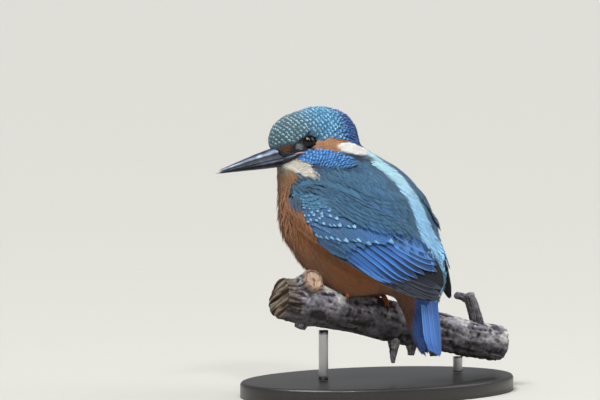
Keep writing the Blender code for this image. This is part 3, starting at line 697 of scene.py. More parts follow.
def over_body(roots, ways, lengths, widths, form, low, high, cup, grid, rng):
    """Vanes laid over the body: each starts low in the coat, follows the surface and rises to its tip. It
    rolls a little, and falls towards its edges by cup * width * c squared."""
    count = len(roots)
    low, high = np.broadcast_to(low, count), np.broadcast_to(high, count)
    point, normal = settle(roots, low, grid)
    way = unit(ways - normal * dot(ways, normal))
    rows = []
    before = 0.0
    for share in form.stations:
        point = point + way * ((share - before) * lengths)[:, None]
        point, normal = settle(point, low + (high - low) * share, grid)
        way = unit(way - normal * dot(way, normal))
        rows.append((point, np.cross(way, normal)))
        before = share
    points = vanes(*(np.stack(row, axis=1) for row in zip(*rows)), widths, form)
    roll = rng.uniform(-0.5, 0.5, count)[:, None] * form.c
    level = low[:, None] + (high - low)[:, None] * np.clip(form.s, 0, 1)
    return settle(points, level + (roll - form.c**2) * cup * widths[:, None], grid, 1)[0]


def many(form, points, tints, light, strength, place, rng):
    """One shape of many vanes: (points, faces, tint, fleck, marks, unwrap, flat). The fleck is a lighter
    colour and how strong its spot is. The marks are how far across a point is, how far along, and the
    vane's number. The unwrap is a patch, PATCH across, round the place of the vane's root."""
    count, each = len(points), len(form.c)
    fleck = np.column_stack([np.broadcast_to(light, (count, 3)), np.broadcast_to(strength, count)])
    marks = np.empty((count, each, 3))
    marks[..., 0], marks[..., 1] = form.c, form.s
    marks[..., 2] = rng.uniform(0, 1, count)[:, None]
    unwrap = np.clip(place[:, None] + np.stack([form.c * 0.5, form.s - 0.5], axis=1) * PATCH, 0, 1)

    def spread(values):
        values = values[:, None] if values.ndim == 2 else values
        return np.broadcast_to(values, (count, each, values.shape[-1])).reshape(-1, values.shape[-1])

    faces = form.faces + (np.arange(count) * each)[:, None, None]
    rest = (spread(values) for values in (tints, fleck, marks, unwrap))
    return (points.reshape(-1, 3), faces.reshape(-1, 3), *rest, np.tile(form.flat, count))


def rows_on(rings, pitch, gap, rng):
    """Staggered rows of places on a sheet of closed rings: rows a pitch apart along every meridian, and
    places a gap apart round each row. Returns the points, and each one's share of the way along and round
    the sheet."""
    steps = np.linalg.norm(np.diff(rings, axis=0), axis=-1)
    length = np.concatenate([np.zeros((1, rings.shape[1])), np.cumsum(steps, axis=0)])
    last, sides = rings.shape[0] - 1, rings.shape[1]
    column = np.arange(sides)
    rows = []
    for number, distance in enumerate(np.arange(pitch * 0.5, length.max(), pitch)):
        i = np.clip((length < distance).sum(axis=0) - 1, 0, last - 1)
        share = (distance - length[i, column]) / np.maximum(length[i + 1, column] - length[i, column], 1e-6)
        row = rings[i, column] + (rings[i + 1, column] - rings[i, column]) * np.clip(share, 0, 1)[:, None]
        closed = np.concatenate([row, row[:1]])
        walk = walked(closed)
        count = max(3, round(walk[-1] / gap))
        wander = rng.uniform(-ROW_JITTER, ROW_JITTER, count)
        places = (np.arange(count) + 0.5 * (number % 2) + wander) / count % 1 * walk[-1]
        found = between(places, walk, closed)
        spot = np.interp(places, walk, np.arange(sides + 1))
        whole = np.append((share <= 1.0) & (i + share < last), True)[np.floor(spot).astype(int)]
        station = np.interp(places, walk, np.append(i + np.clip(share, 0, 1), (i + share)[0])) / last
        rows.append((found[whole], np.column_stack([station, spot / sides])[whole]))
    return (np.concatenate(row) for row in zip(*rows))


# Markings


def ramp(value, edge, width):
    """A smooth rise from 0 to 1 as a value passes an edge, over about this width."""
    t = np.clip((value - edge) / width + 0.5, 0, 1)
    return t * t * (3 - 2 * t)


def patch(y, z, centre, half, tilt, edge):
    """A soft-edged oval in the head's side view: 1 inside, 0 outside, turned by a tilt in degrees."""
    c, s = math.cos(math.radians(tilt)), math.sin(math.radians(tilt))
    along, across = (y - centre[0]) * c + (z - centre[1]) * s, (z - centre[1]) * c - (y - centre[0]) * s
    return ramp(-np.sqrt((along / half[0]) ** 2 + (across / half[1]) ** 2), -1.0, edge)


def over(base, colour, share):
    return base + (colour - base) * np.asarray(share)[..., None]


def tints_of(settings):
    """The colours of a group of settings as arrays."""
    names = [name for name in settings.bl_rna.properties.keys() if name not in ("rna_type", "name")]
    return {name: np.array(getattr(settings, name)) for name in names}


def above_neck(points):
    """How far points lie beyond the plane that parts head from neck."""
    return (points - HEAD_PLANE[0]) @ unit(HEAD_PLANE[1])


def head_share(points):
    """1 on the head and 0 on the trunk, changing over the neck."""
    return ramp(above_neck(points), -2.0, 12.0)


def wing_height(points):
    """The height of the folded wing's middle line in the side view, at the same distance along the body."""
    line = bezier(WING_LINE, evenly(60))[0]
    return np.interp(points[..., 1], line[:, 1], line[:, 2])


def zones(points):
    """How far each marking holds at points of the body: the face and crown in the head's side view, and the
    upperparts against the underparts in the bird's."""
    y, z = np.moveaxis(to_head(points), -1, 0)[1:]
    bx, by, bz = np.abs(points[..., 0]), points[..., 1], points[..., 2]
    wander = grain(points, 3.0) * 0.5
    crown = ramp(z - through(*CROWN_EDGE, y) + wander * 0.4, 0.0, 0.9) * ramp(-y, -25.0, 2.0)
    front_edge = through(*MANTLE_FRONT, by) + 6.0 * ramp(-points[..., 0], 5.0, 9.0)
    upper = ramp(front_edge - bz + wander, 0.0, 1.6) * ramp(bz - wing_height(points) + 1.0, 0.0, 2.5)
    upper = upper * ramp(by - 0.62 * bx, -27.4, 1.6)
    ovals = {name: patch(y, z, *oval) for name, oval in FACE_OVALS.items()}
    for name in ("lore", "mask"):
        ovals[name] = ovals[name] * (1 - crown)
    throat = ramp(through(*THROAT_TOP, y) - z, 0.0, 1.0)
    throat = throat * ramp(z - through(*THROAT_FOOT, y) + wander, 0.0, 1.2) * ramp(-y, 5.2, 1.5)
    face = ramp(-y, -30.0, 4.0) * ramp(z, -13.0, 3.0)
    return ovals | {
        "crown": crown,
        "ear": np.maximum(ovals["ear"], ovals["ear_top"]) * (1 - crown),
        "neck": ovals["neck"] * ramp(y, 8.5, 2.0),
        "throat": throat,
        "buff": ramp(-y, 0.0, 6.0) * ramp(z, -17.5, 4.0) * face,
        "upper": upper,
        "stripe": ramp(through(*STRIPE_HALF, by) - bx + wander * 0.7, 0.0, 1.2) * ramp(by, 4.0, 8.0) * upper,
        "rump": ramp(by, 30.0, 20.0) * upper,
        "tail_side": ramp(by - 0.3 * bz, 38.6, 2.5) * ramp(-bz, -3.0, 5.0),
    }


def kinds_at(points, at):
    """How strongly each kind of feather grows at points, from the markings there."""
    on_head, behind = ramp(above_neck(points), -1.0, 2.0), ramp(-above_neck(points), -2.5, 2.0)
    bare = 1 - at["crown"]
    body = bare * (1 - at["malar"]) * behind
    marked = np.maximum.reduce([at["crown"], at["malar"], at["throat"], at["neck"]])
    return {
        "cap": at["crown"] * on_head,
        "cheek": at["malar"] * bare,
        "pale": np.maximum(at["throat"], at["neck"]) * bare,
        "plain": (1 - marked) * on_head,
        "under": (1 - at["upper"]) * (1 - at["throat"]) * body,
        "mantle": at["upper"] * (1 - at["stripe"]) * body,
        "silk": at["stripe"] * bare * behind,
    }


def base_colours(points, colour):
    """The plumage's colour at points of the body, and its lighter colour for tips and flecks."""
    at = zones(points)
    y, z = np.moveaxis(to_head(points), -1, 0)[1:]
    low = points[..., 2]
    mottle = 0.5 + 0.5 * grain(points, 4.5, 1)
    fine = 0.5 + 0.5 * grain(points, 1.3, 2)
    base = over(colour["breast"], colour["belly"], ramp(-low, -22.0, 22.0) * 0.8)
    base = over(base, colour["dusky"], mottle * 0.5 * ramp(low, 30.0, 18.0))
    base = over(base, colour["buff"], at["buff"] * (0.75 - 0.3 * mottle))
    # Painted shade: the underparts darken towards the vent and under the tail, where the bird shades itself.
    base = base * (1 - 0.45 * ramp(points[..., 1] - 0.5 * low, 22.0, 16.0))[..., None]
    base = over(base, colour["tail"] * 0.6, at["tail_side"])
    light = over(base, colour["buff"], 0.5 - 0.5 * at["tail_side"])
    # Painted shade: the mantle's blue and its lighter barbs darken towards the front, in the crease where the
    # mantle meets the neck and the wing's bend.
    bend = ramp(-points[..., 1], 3.0, 9.0)[..., None]
    blue = over(colour["mantle"], colour["mantle_light"], 0.25 + 0.4 * mottle) * (1 - 0.5 * bend)
    on_rump = at["rump"] * at["stripe"]
    crown = over(colour["crown_front"], colour["crown_middle"], ramp(y + z * 0.35, 4.0, 12.0))
    crown = over(crown, colour["nape"], ramp(y - z * 0.35, 12.0, 9.0))
    crown = over(crown, colour["nape_edge"], ramp(y - z * 0.9, 20.5, 6.0) * 0.8)
    spot = over(colour["spot_front"], colour["spot_middle"], ramp(y + z * 0.2, 4.0, 12.0))
    spot = over(spot, colour["spot_nape"], ramp(y - z * 0.35, 13.0, 8.0))
    steps = [
        # The mantle's lighter barbs are dimmed by the same painted shade at the front.
        (blue, at["upper"], colour["mantle_light"] * (1 - 0.3 * bend), at["upper"]),
        (colour["stripe_deep"], at["stripe"], colour["stripe"], at["stripe"]),
        (colour["rump"], on_rump * 0.85, colour["rump"], on_rump * 0.45),
    ]
    for zone, tone, tip in FACE_TONES:
        share = at[zone] * (0.85 if zone.startswith("under") else 1.0)
        steps.append((colour[tone], share, colour[tip], share))
    # Painted shade: olive-brown laid over the throat's lower front, where it turns down away from the light.
    shaded = at["throat"] * ramp(-z - 0.82 * y, 17.0, 2.0) * 0.9
    steps += [(colour["olive"], shaded, colour["olive"], shaded), (crown, at["crown"], spot, at["crown"])]
    for tone, share, tip, tip_share in steps:
        base, light = over(base, tone, share), over(light, tip, tip_share)
    return base * (0.88 + 0.24 * fine[..., None]), light


def flow(points):
    """The lie of the coat: away from the bill's root on the head, down the nape, and along the spine
    behind."""
    share = evenly(60)
    back = unit(np.gradient(spine(share)[0], axis=0))
    y, z = points[..., 1], points[..., 2]
    station = np.interp((NECK_PLANE[0][2] - z) * 0.8 + (y - NECK_PLANE[0][1]) * 0.6, [0.0, 60.0], [0.0, 1.0])
    body = between(station, share, back)
    out = np.sign(points[..., :1]) * np.clip(np.abs(points[..., :1]) / 12, 0, 1)
    out = out * ramp(y, 14.0, 20.0)[..., None] * ramp(z, 14.0, 14.0)[..., None]
    body = unit(body + out * [0.22, 0.0, 0.0])
    away = unit(points - from_head([0.0, -13.0, -1.5]))
    down = ramp(to_head(points)[..., 1], 13.0, 18.0)[..., None] * 0.85
    head = unit(away * (1 - down) + body * down)
    share = head_share(points)[..., None]
    return unit(head * share + body * (1 - share))


def depth_of(points):
    """The coat's depth: thin on the face, deeper on the throat and body."""
    head = to_head(points)
    near_bill = ramp(-head[..., 1], 2.0, 10.0) * ramp(head[..., 2], -4.0, 4.0)
    return 2.0 - 0.9 * head_share(points) - 0.45 * near_bill * head_share(points)


def hidden(points, margin):
    """True under the folded wings and where wood, bill or eyes leave no room for feathers."""
    both = mirrored(points)
    under_wing = read(dressed_grid(), both)[..., 0] - read(bare_grid(), both)[..., 0] < -margin
    head = to_head(points)
    x, y, z = head.T
    half, rear, roof, floor = BILL_ROOM
    bill = (np.abs(x) < half) & (y < rear) & (z < roof) & (z > floor)
    top, bottom = (through(JAW_STATIONS, edge, y) for edge in (JAW_TOPS, JAW_BOTTOMS))
    jaws = (y > JAW_STATIONS[0] - 1.5) & (y < JAW_STATIONS[-1] - 0.4) & (z < top - 0.25) & (z > bottom + 0.3)
    eye = np.linalg.norm(mirrored(head) - EYE_PLACE, axis=1) < EYE_RADIUS + EYE_ROOM
    tail, backward = tail_sheet(np.linspace(0.02, 1, 30), np.zeros(30))
    away = points[:, None] - tail
    near = np.linalg.norm(away, axis=2)
    facing = (away * backward).sum(axis=2)[np.arange(len(points)), near.argmin(axis=1)]
    in_tail = (near.min(axis=1) < TAIL_ROOM) & (facing > -0.9) & (points[:, 2] < 4.0)
    return under_wing | bill | jaws | eye | in_tail


# Materials


def wire(tree, kind, values=(), **settings):
    """A shader node with its settings, and each input given a value or a link by number or name."""
    node = tree.nodes.new(kind)
    for label, value in settings.items():
        setattr(node, label, value)
    for key, value in dict(values).items():
        feed(tree, node.inputs[key], value)
    return node


def feed(tree, socket, value):
    """A link into a socket, or a plain value on it."""
    if isinstance(value, bpy.types.NodeSocket):
        tree.links.new(value, socket)
    else:
        socket.default_value = value


def sums(tree, operation, *values, clamp=False):
    """A math node's result, or a chain of them for more than two values."""
    while len(values) > 2:
        values = (sums(tree, operation, *values[:2]), *values[2:])
    return wire(tree, "ShaderNodeMath", enumerate(values), operation=operation, use_clamp=clamp).outputs[0]


def blend_of(tree, share, first, second, mode="MIX"):
    """A mix of two colours: its sockets are the ones of type RGBA, and the plain factor."""
    node = wire(tree, "ShaderNodeMix", data_type="RGBA", blend_type=mode)
    for key, value, kind in (("Factor", share, "VALUE"), ("A", first, "RGBA"), ("B", second, "RGBA")):
        feed(tree, next(s for s in node.inputs if s.name == key and s.type == kind), value)
    return next(s for s in node.outputs if s.type == "RGBA")


def span(tree, value, low, high):
    """A smooth rise of a value from low to high, as 0 to 1."""
    values = {"Value": value, "From Min": low, "From Max": high}
    return wire(tree, "ShaderNodeMapRange", values, interpolation_type="SMOOTHSTEP").outputs["Result"]


def new_group(name, inputs, outputs):
    """A node group with float inputs at their defaults, or vectors where there is none, and float
    outputs."""
    group = bpy.data.node_groups.new(name, "ShaderNodeTree")
    for label, value in inputs.items():
        kind = "NodeSocketVector" if value is None else "NodeSocketFloat"
        socket = group.interface.new_socket(name=label, in_out="INPUT", socket_type=kind)
        if value is not None:
            socket.default_value = value
    for label in outputs:
        group.interface.new_socket(name=label, in_out="OUTPUT", socket_type="NodeSocketFloat")
    return group, group.nodes.new("NodeGroupInput").outputs, group.nodes.new("NodeGroupOutput").inputs


@functools.lru_cache(maxsize=None)
def barbs_group():
    """Barbs and shaft of a vane from its marks: streaks that slant out from the shaft, a crescent fleck
    behind the tip, and the rim."""
    inputs = {"Vane": None, "Barbs": 9.0, "Slant": 0.5}
    inputs |= {"Fleck Place": 0.84, "Fleck Length": 0.1, "Fleck Width": 0.6}
    group, given, gives = new_group("Kingfisher Barbs", inputs, ("Streak", "Fleck", "Rim", "Shaft"))
    value = functools.partial(sums, group)
    split = wire(group, "ShaderNodeSeparateXYZ", {0: given["Vane"]}).outputs
    across, along, number = value("ABSOLUTE", split[0]), split[1], split[2]
    noise = {"Vector": given["Vane"], "Scale": 3.0, "Detail": 2.0, "Roughness": 0.6}
    loose = wire(group, "ShaderNodeTexNoise", noise).outputs["Fac"]
    phase = value("SUBTRACT", along, value("MULTIPLY", across, given["Slant"]))
    phase = value("ADD", phase, value("MULTIPLY", loose, 0.22), number)
    wave = value("SINE", value("MULTIPLY", phase, given["Barbs"], 2 * math.pi))
    bow = value("ADD", along, value("MULTIPLY", value("POWER", across, 2.0), 0.14))
    off = value("ABSOLUTE", value("SUBTRACT", bow, given["Fleck Place"]))
    spot = span(group, value("DIVIDE", off, given["Fleck Length"]), 1.15, 0.55)
    inside = span(group, value("DIVIDE", across, given["Fleck Width"]), 1.1, 0.8)
    results = {
        "Streak": value("ADD", value("MULTIPLY", wave, 0.5), 0.5),
        "Fleck": value("MULTIPLY", spot, inside),
        "Rim": value("MAXIMUM", span(group, across, 0.72, 1.0), span(group, along, 0.88, 1.0)),
        "Shaft": span(group, across, 0.09, 0.02),
    }
    for label, result in results.items():
        group.links.new(result, gives[label])
    return group


@functools.lru_cache(maxsize=None)
def mottle_group():
    """Two scales of noise on Object coordinates, as a value round 0.5 for colour and a height."""
    inputs = {"Scale": 300.0, "Contrast": 1.0}
    group, given, gives = new_group("Kingfisher Mottle", inputs, ("Value", "Height"))
    value = functools.partial(sums, group)
    place = wire(group, "ShaderNodeTexCoord").outputs["Object"]
    broad = {"Vector": place, "Scale": given["Scale"], "Detail": 6.0, "Roughness": 0.65}
    small = {"Vector": place, "Scale": value("MULTIPLY", given["Scale"], 4.3), "Detail": 3.0}
    broad, small = (wire(group, "ShaderNodeTexNoise", noise).outputs["Fac"] for noise in (broad, small))
    off = value("MULTIPLY", value("SUBTRACT", broad, 0.5), given["Contrast"])
    group.links.new(value("ADD", off, 0.5, clamp=True), gives["Value"])
    height = value("ADD", value("MULTIPLY", broad, 0.7), value("MULTIPLY", small, 0.3))
    group.links.new(height, gives["Height"])
    return group


def new_material(name, **sockets):
    """A material with a Principled BSDF whose plain numbers are set on its own sockets."""
    material = bpy.data.materials.new(name)
    material.use_nodes = True
    shader = material.node_tree.nodes["Principled BSDF"]
    for label, value in sockets.items():
        shader.inputs[label.replace("_", " ")].default_value = value
    return material, material.node_tree, shader


def attribute(tree, name):
    return wire(tree, "ShaderNodeAttribute", attribute_name=name, attribute_type="GEOMETRY").outputs


def bump(tree, shader, height, distance, strength=0.6):
    node = wire(tree, "ShaderNodeBump", {"Height": height, "Distance": distance, "Strength": strength})
    tree.links.new(node.outputs["Normal"], shader.inputs["Normal"])


def tinted(name, mottle=None, greys=None, relief=None, **sockets):
    """A material in the mesh's own tint. A mottle, given by its scale and contrast, multiplies it by two
    greys and raises it by a relief of distance and strength."""
    material, tree, shader = new_material(name, **sockets)
    colour = attribute(tree, "tint")["Color"]
    if mottle:
        values = dict(zip(("Scale", "Contrast"), mottle))
        noise = wire(tree, "ShaderNodeGroup", values, node_tree=mottle_group()).outputs
        if greys:
            dark, light = ((*grey, 1.0) for grey in greys)
            colour = blend_of(tree, 1.0, colour, blend_of(tree, noise["Value"], dark, light), "MULTIPLY")
        bump(tree, shader, noise["Height"], *relief)
    tree.links.new(colour, shader.inputs["Base Color"])
    return material


def plumage(
    name, barbs, streaks, fleck=0.0, size=(0.84, 0.1, 0.6), rim=0.0, shaft=0.0, slant=0.5, roughness=0.62,
    sheen=0.15
):
    """Feather material: the vane's tint, streaked along its barbs towards the fleck colour, with a crescent
    behind the tip, and a rim that is lighter (above 0) or darker (below 0)."""
    gloss = {"Roughness": roughness, "Specular_IOR_Level": 0.27}
    gloss |= {"Sheen_Weight": sheen, "Sheen_Roughness": 0.5}
    material, tree, shader = new_material(name, **gloss)
    value = functools.partial(sums, tree)
    light, marks = attribute(tree, "fleck"), attribute(tree, "vane")["Vector"]
    values = {"Vane": marks, "Barbs": barbs, "Slant": slant}
    values |= dict(zip(("Fleck Place", "Fleck Length", "Fleck Width"), size))
    out = wire(tree, "ShaderNodeGroup", values, node_tree=barbs_group()).outputs
    number = wire(tree, "ShaderNodeSeparateXYZ", {0: marks}).outputs[2]
    vary = value("ADD", value("MULTIPLY", number, 0.3), 0.85)
    grey = wire(tree, "ShaderNodeCombineXYZ", {0: vary, 1: vary, 2: vary}).outputs[0]
    colour = blend_of(tree, 1.0, attribute(tree, "tint")["Color"], grey, "MULTIPLY")
    colour = blend_of(tree, value("MULTIPLY", out["Streak"], streaks), colour, light["Color"])
    strength = value("MULTIPLY", out["Fleck"], fleck, light["Alpha"])
    colour = blend_of(tree, strength, colour, light["Color"])
    edge = (1.0, 1.0, 1.0, 1.0) if rim > 0 else (0.0, 0.0, 0.0, 1.0)
    colour = blend_of(tree, value("MULTIPLY", out["Rim"], abs(rim)), colour, edge)
    if shaft:
        colour = blend_of(tree, value("MULTIPLY", out["Shaft"], shaft), colour, (0.005, 0.006, 0.008, 1.0))
    tree.links.new(colour, shader.inputs["Base Color"])
    bump(tree, shader, value("ADD", value("MULTIPLY", out["Streak"], 0.8), out["Shaft"]), 0.00012)
    return material


def dress(made, material, slot, *nodes):
    """Gives a finished piece its material and its body, and hides the nodes that it stands for. The slot is not
    used.
    """
    made.data.materials.clear()
    made.data.materials.append(material)
    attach(made, "root")
    if nodes:
        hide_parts(*nodes)
    return made


def coat(name, shapes, material, slot, *nodes):
    """One coat piece from several shapes of vanes."""
    points, faces, tint, fleck, marks, unwrap, flat = joined(*shapes)
    made = build(name, points, faces, tint, flat, {"fleck": fleck, "vane": marks}, unwrap)
    dress(made, material, slot, *nodes)


# Sizes and colours that a user may change


def shade(name, description, code):
    """A colour, its default written as red, green and blue in two hexadecimal digits each."""
    screen = np.array([int(code[i:i + 2], 16) for i in (0, 2, 4)]) / 255
    linear = np.where(screen <= 0.04045, screen / 12.92, ((screen + 0.055) / 1.055) ** 2.4)
    default = tuple(float(value) for value in linear)
    return bpy.props.FloatVectorProperty(
        name=name, description=description, default=default, subtype="COLOR", size=3, min=0.0, max=1.0
    )


def span_of(name, description, millimetres):
    return bpy.props.FloatProperty(
        name=name, description=description, default=millimetres * MM, min=0.0, unit="LENGTH", precision=5
    )


def number(name, description, default):
    return bpy.props.FloatProperty(name=name, description=description, default=default, min=0.0)


class KingfisherPlumage(bpy.types.PropertyGroup):
    crown_front: shade("Front crown", "Ground colour of the forehead and front crown", "234552")
    crown_middle: shade("Middle crown", "Ground colour of the middle of the crown", "24648f")
    nape: shade("Nape", "Royal blue of the rear crown and nape", "12366f")
    nape_edge: shade("Nape edge", "Dark blue where the nape ends", "0f1f40")
    spot_front: shade("Front spots", "Crescents of the front crown", "adccd6")
    spot_middle: shade("Middle spots", "Crescents of the middle crown", "9ad4f0")
    spot_nape: shade("Nape spots", "Flecks of the nape", "3374bb")
    lore: shade("Lore", "Rufous spot before the eye", "4f2115")
    mask: shade("Mask", "Black-brown round the gape and eye", "101216")
    fleck: shade("Pale fleck", "Grey fleck before the eye", "7d878a")
    ear: shade("Ear patch", "Rufous ear coverts", "bc8962")
    ear_light: shade("Light ear", "Lighter streaks of the ear coverts", "d8a57a")
    white: shade("Neck patch", "Cream-white side of the neck", "f9f8f2")
    throat: shade("Throat", "Cream-white throat", "e4e0d2")
    malar: shade("Cheek stripe", "Ground colour of the blue cheek stripe", "2d70b6")
    malar_light: shade("Light cheek stripe", "Flecks of the blue cheek stripe", "82c2f1")
    # Painted shade: the olive-brown that darkens the throat's lower part.
    olive: shade("Olive", "Dull olive-brown below the throat", "5d523a")
    buff: shade("Buff", "Buff-brown between throat and breast", "7d5d3e")
    breast: shade("Breast", "Rufous of the breast", "a86a34")
    belly: shade("Belly", "Deeper rufous of the belly and vent", "885022")
    dusky: shade("Dusky", "Dusky tips on the young bird's breast", "4a3628")
    mantle: shade("Mantle", "Slate-blue of mantle and scapulars", "284d6c")
    mantle_light: shade("Light mantle", "Lighter barbs of mantle and scapulars", "4d7a9b")
    stripe: shade("Back stripe", "Pale azure of the back stripe's tips", "dcfbff")
    stripe_deep: shade("Deep back stripe", "Azure under the back stripe", "aee4f7")
    rump: shade("Rump", "Azure of the rump", "5fb4ea")
    covert: shade("Wing coverts", "Dark teal-blue of the wing coverts", "123d6e")
    # The coverts' own greenish blue, with their sheen painted into the colour as well.
    shoulder: shade("Shoulder", "Teal gloss of the lesser coverts", "24607a")
    covert_light: shade("Light coverts", "Barbs of the wing coverts", "2f6496")
    covert_spot: shade("Covert spots", "Pale spots at the coverts' tips", "8fc4e4")
    azure: shade("Secondaries", "Azure outer vanes of the secondaries", "2b6cc4")
    azure_light: shade("Light secondaries", "Light barbs of the secondaries", "5f98e4")
    # The quills' own dark inner webs, with the shadow under each next quill painted in as well.
    slot: shade("Slots", "Dark inner vanes between the secondaries", "0a0f1a")
    primary: shade("Primaries", "Slate of the primaries", "171b27")
    primary_light: shade("Light primaries", "Edges of the primaries", "3d4456")
    tail: shade("Tail", "Azure-cobalt of the tail", "2d64bb")
    tail_light: shade("Light tail", "Light barbs of the tail", "6ba0e6")
    skin_depth: span_of("Skin step", "How much deeper the skin lies than the roots of the coat", 0.25)


class KingfisherFace(bpy.types.PropertyGroup):
    iris: shade("Eye", "Dark brown of the eye", "150c08")
    lid: shade("Lid", "Bare dark rim of the eye", "1c1a1c")
    gape: shade("Gape", "Pink corner of the mouth", "b8868c")
    horn: shade("Horn", "Dark horn of the bill", "101118")
    # Painted reflection: the sky's lilac-grey sheen on the horn, painted into the bill's colour.
    horn_light: shade("Light horn", "Lilac-grey sheen along the upper bill", "bcd0f4")
    horn_tip: shade("Bill tip", "Pale tip of a young bird's bill", "c9c2bc")
    foot: shade("Feet", "Orange-brown scaled skin", "a84f2c")
    foot_dark: shade("Foot creases", "Dusky creases between the scales", "5a281a")
    claw: shade("Claws", "Dark horn of the claws", "241a17")
    claw_tip: shade("Claw tips", "Paler ends of the claws", "8c7a6c")
    lid_width: span_of("Lid width", "Thickness of the eye's bare rim", 0.3)


class KingfisherPerch(bpy.types.PropertyGroup):
    bark: shade("Bark", "Dark brown-black bark", "3a3537")
    bark_light: shade("Worn bark", "Grey-lilac worn bark", "aca7b4")
    lichen: shade("Lichen", "Pale grey lichen", "c4c4c0")
    torn: shade("Torn wood", "Weathered fibres of the broken end", "7d7264")
    wood: shade("Bare wood", "Tan wood of the sawn knot and broken end", "cbae97")
    pith: shade("Pith", "Darker heart and cracks of bare wood", "6f4d35")
    base: shade("Base", "Ebonised wood of the base", "1b1918")
    steel: shade("Rods", "Satin steel of the rods", "b4b4b6")
    relief: span_of("Bark relief", "How far the bark's ridges rise and fall", 0.75)


class KingfisherStage(bpy.types.PropertyGroup):
    floor: shade("Floor", "Pale floor", "c9c7c0")
    world: shade("Surroundings", "Soft light from all round", "eef1f4")
    key_power: number("Key light", "Strength of the broad light overhead", 3.0)
    rear_power: number("Rear light", "Strength of the light from behind the tail", 0.8)
    fill_power: number("Fill light", "Power of the small light beside the camera, in watts", 2.0)
    world_strength: number("World strength", "Strength of the light from all round", 0.37)
    azimuth: number("Camera azimuth", "Camera's way round the bird, in degrees", 122.0)
    elevation: number("Camera elevation", "Camera's height over the bird's level, in degrees", 4.0)
    distance: span_of("Camera distance", "From the camera to the middle of the view", 2000.0)
    view_width: span_of("View width", "Width of the view at that distance", 252.0)


SETTINGS = {
    "kingfisher_plumage": KingfisherPlumage,
    "kingfisher_face": KingfisherFace,
    "kingfisher_perch": KingfisherPerch,
    "kingfisher_stage": KingfisherStage,
}


# The pieces


class PieceOperator:
    """What the operators share: they can be undone, and they register."""

    bl_options = {"REGISTER", "UNDO"}

    @classmethod
    def poll(cls, context):
        return context.scene is not None


def eye_axis(sign):
    """The eye's middle on one side, and the way it looks out."""
    return from_head(EYE_PLACE * [sign, 1, 1]), unit(HEAD_TURN @ [sign, -0.16, 0.04])


def eye_rim(sign, radius, lift):
    """A rim round an eye, almond-shaped: a circle on the eye's ball at an angle of lift degrees from its
    outward axis, drawn out to both corners by cosine to the sixth."""
    middle, outward = eye_axis(sign)
    ahead = HEAD_TURN @ [0.0, -1.0, 0.0]
    forward = unit(ahead - outward * (ahead @ outward))
    upward = np.cross(outward, forward)
    spin = circle(LID_SIDES)
    lean = np.radians(lift + 7.0 * np.abs(np.cos(spin)) ** 6 - 3.0 * np.sin(spin) ** 2)[:, None]
    ways = np.cos(lean) * outward + np.sin(lean) * wheel(forward, upward * np.sign(upward[2]), LID_SIDES)
    return middle + ways * radius


def lid(sign, width, turns=8):
    """A lid as a closed, rounded ring on the eyeball: a small circle carried round the almond rim."""
    line = eye_rim(sign, EYE_RADIUS + width * 0.35, 60.0)
    across = unit(eye_rim(sign, EYE_RADIUS + width * 0.1, 74.0) - line)
    lift = unit(line - eye_axis(sign)[0])
    fold = 1 + 0.12 * np.sin(np.arange(LID_SIDES) * 2.6)[:, None, None]
    ring = line[:, None] + width * fold * wheel(across * 1.3, lift * 0.75, turns)
    return facing_out(ring.reshape(-1, 3), quads(LID_SIDES + 1, turns) % (LID_SIDES * turns))


def gape(sign):
    """The gape's soft flange: a tapered tube along the mouth's corner."""
    share = evenly(12)
    corner = np.array([[8.4, -8.4, -1.2], [9.6, -6.8, -1.05], [10.6, -5.0, -1.45]])
    line = settle(from_head(bezier(corner, share)[0] * [sign, 1, 1]), 0.12, bare_grid())[0]
    return tube(round_rings(line, 0.12 + 0.24 * np.sin(math.pi * share) ** 0.6, 10))


class KINGFISHER_OT_skin(PieceOperator, bpy.types.Operator):
    """One skin over head, neck and trunk, with the eyes' lids and the corners of the mouth"""

    bl_idname = "kingfisher.skin"
    bl_label = "Skin"

    def execute(self, context):
        plume, face = context.scene.kingfisher_plumage, context.scene.kingfisher_face
        rings = rings_about(*body_stations(SKIN_RINGS), SKIN_SIDES, -1.0)
        rings = settle(rings, -(depth_of(rings) + plume.skin_depth / MM), bare_grid(), 3)[0]
        points, faces = tube(rings)
        # The skin takes the plumage's colours, darkened by a fifth as painted shade where it shows between the
        # feathers.
        shapes = [(points, faces, base_colours(points, tints_of(plume))[0] * 0.8)]
        for sign in (1, -1):
            rim = lid(sign, face.lid_width / MM)
            for (spots, sides), paint in ((rim, face.lid), (gape(sign), face.gape)):
                shapes.append((spots, sides, np.broadcast_to(np.array(paint), spots.shape)))
        greys, relief = ((0.78, 0.78, 0.78), (1.15, 1.15, 1.15)), (0.0004, 0.6)
        material = tinted("Bird skin", (900.0, 1.0), greys, relief, Roughness=0.7, Specular_IOR_Level=0.3)
        dress(build("skin", *joined(*shapes)), material, "crown", "head", "neck", "trunk")
        return {"FINISHED"}


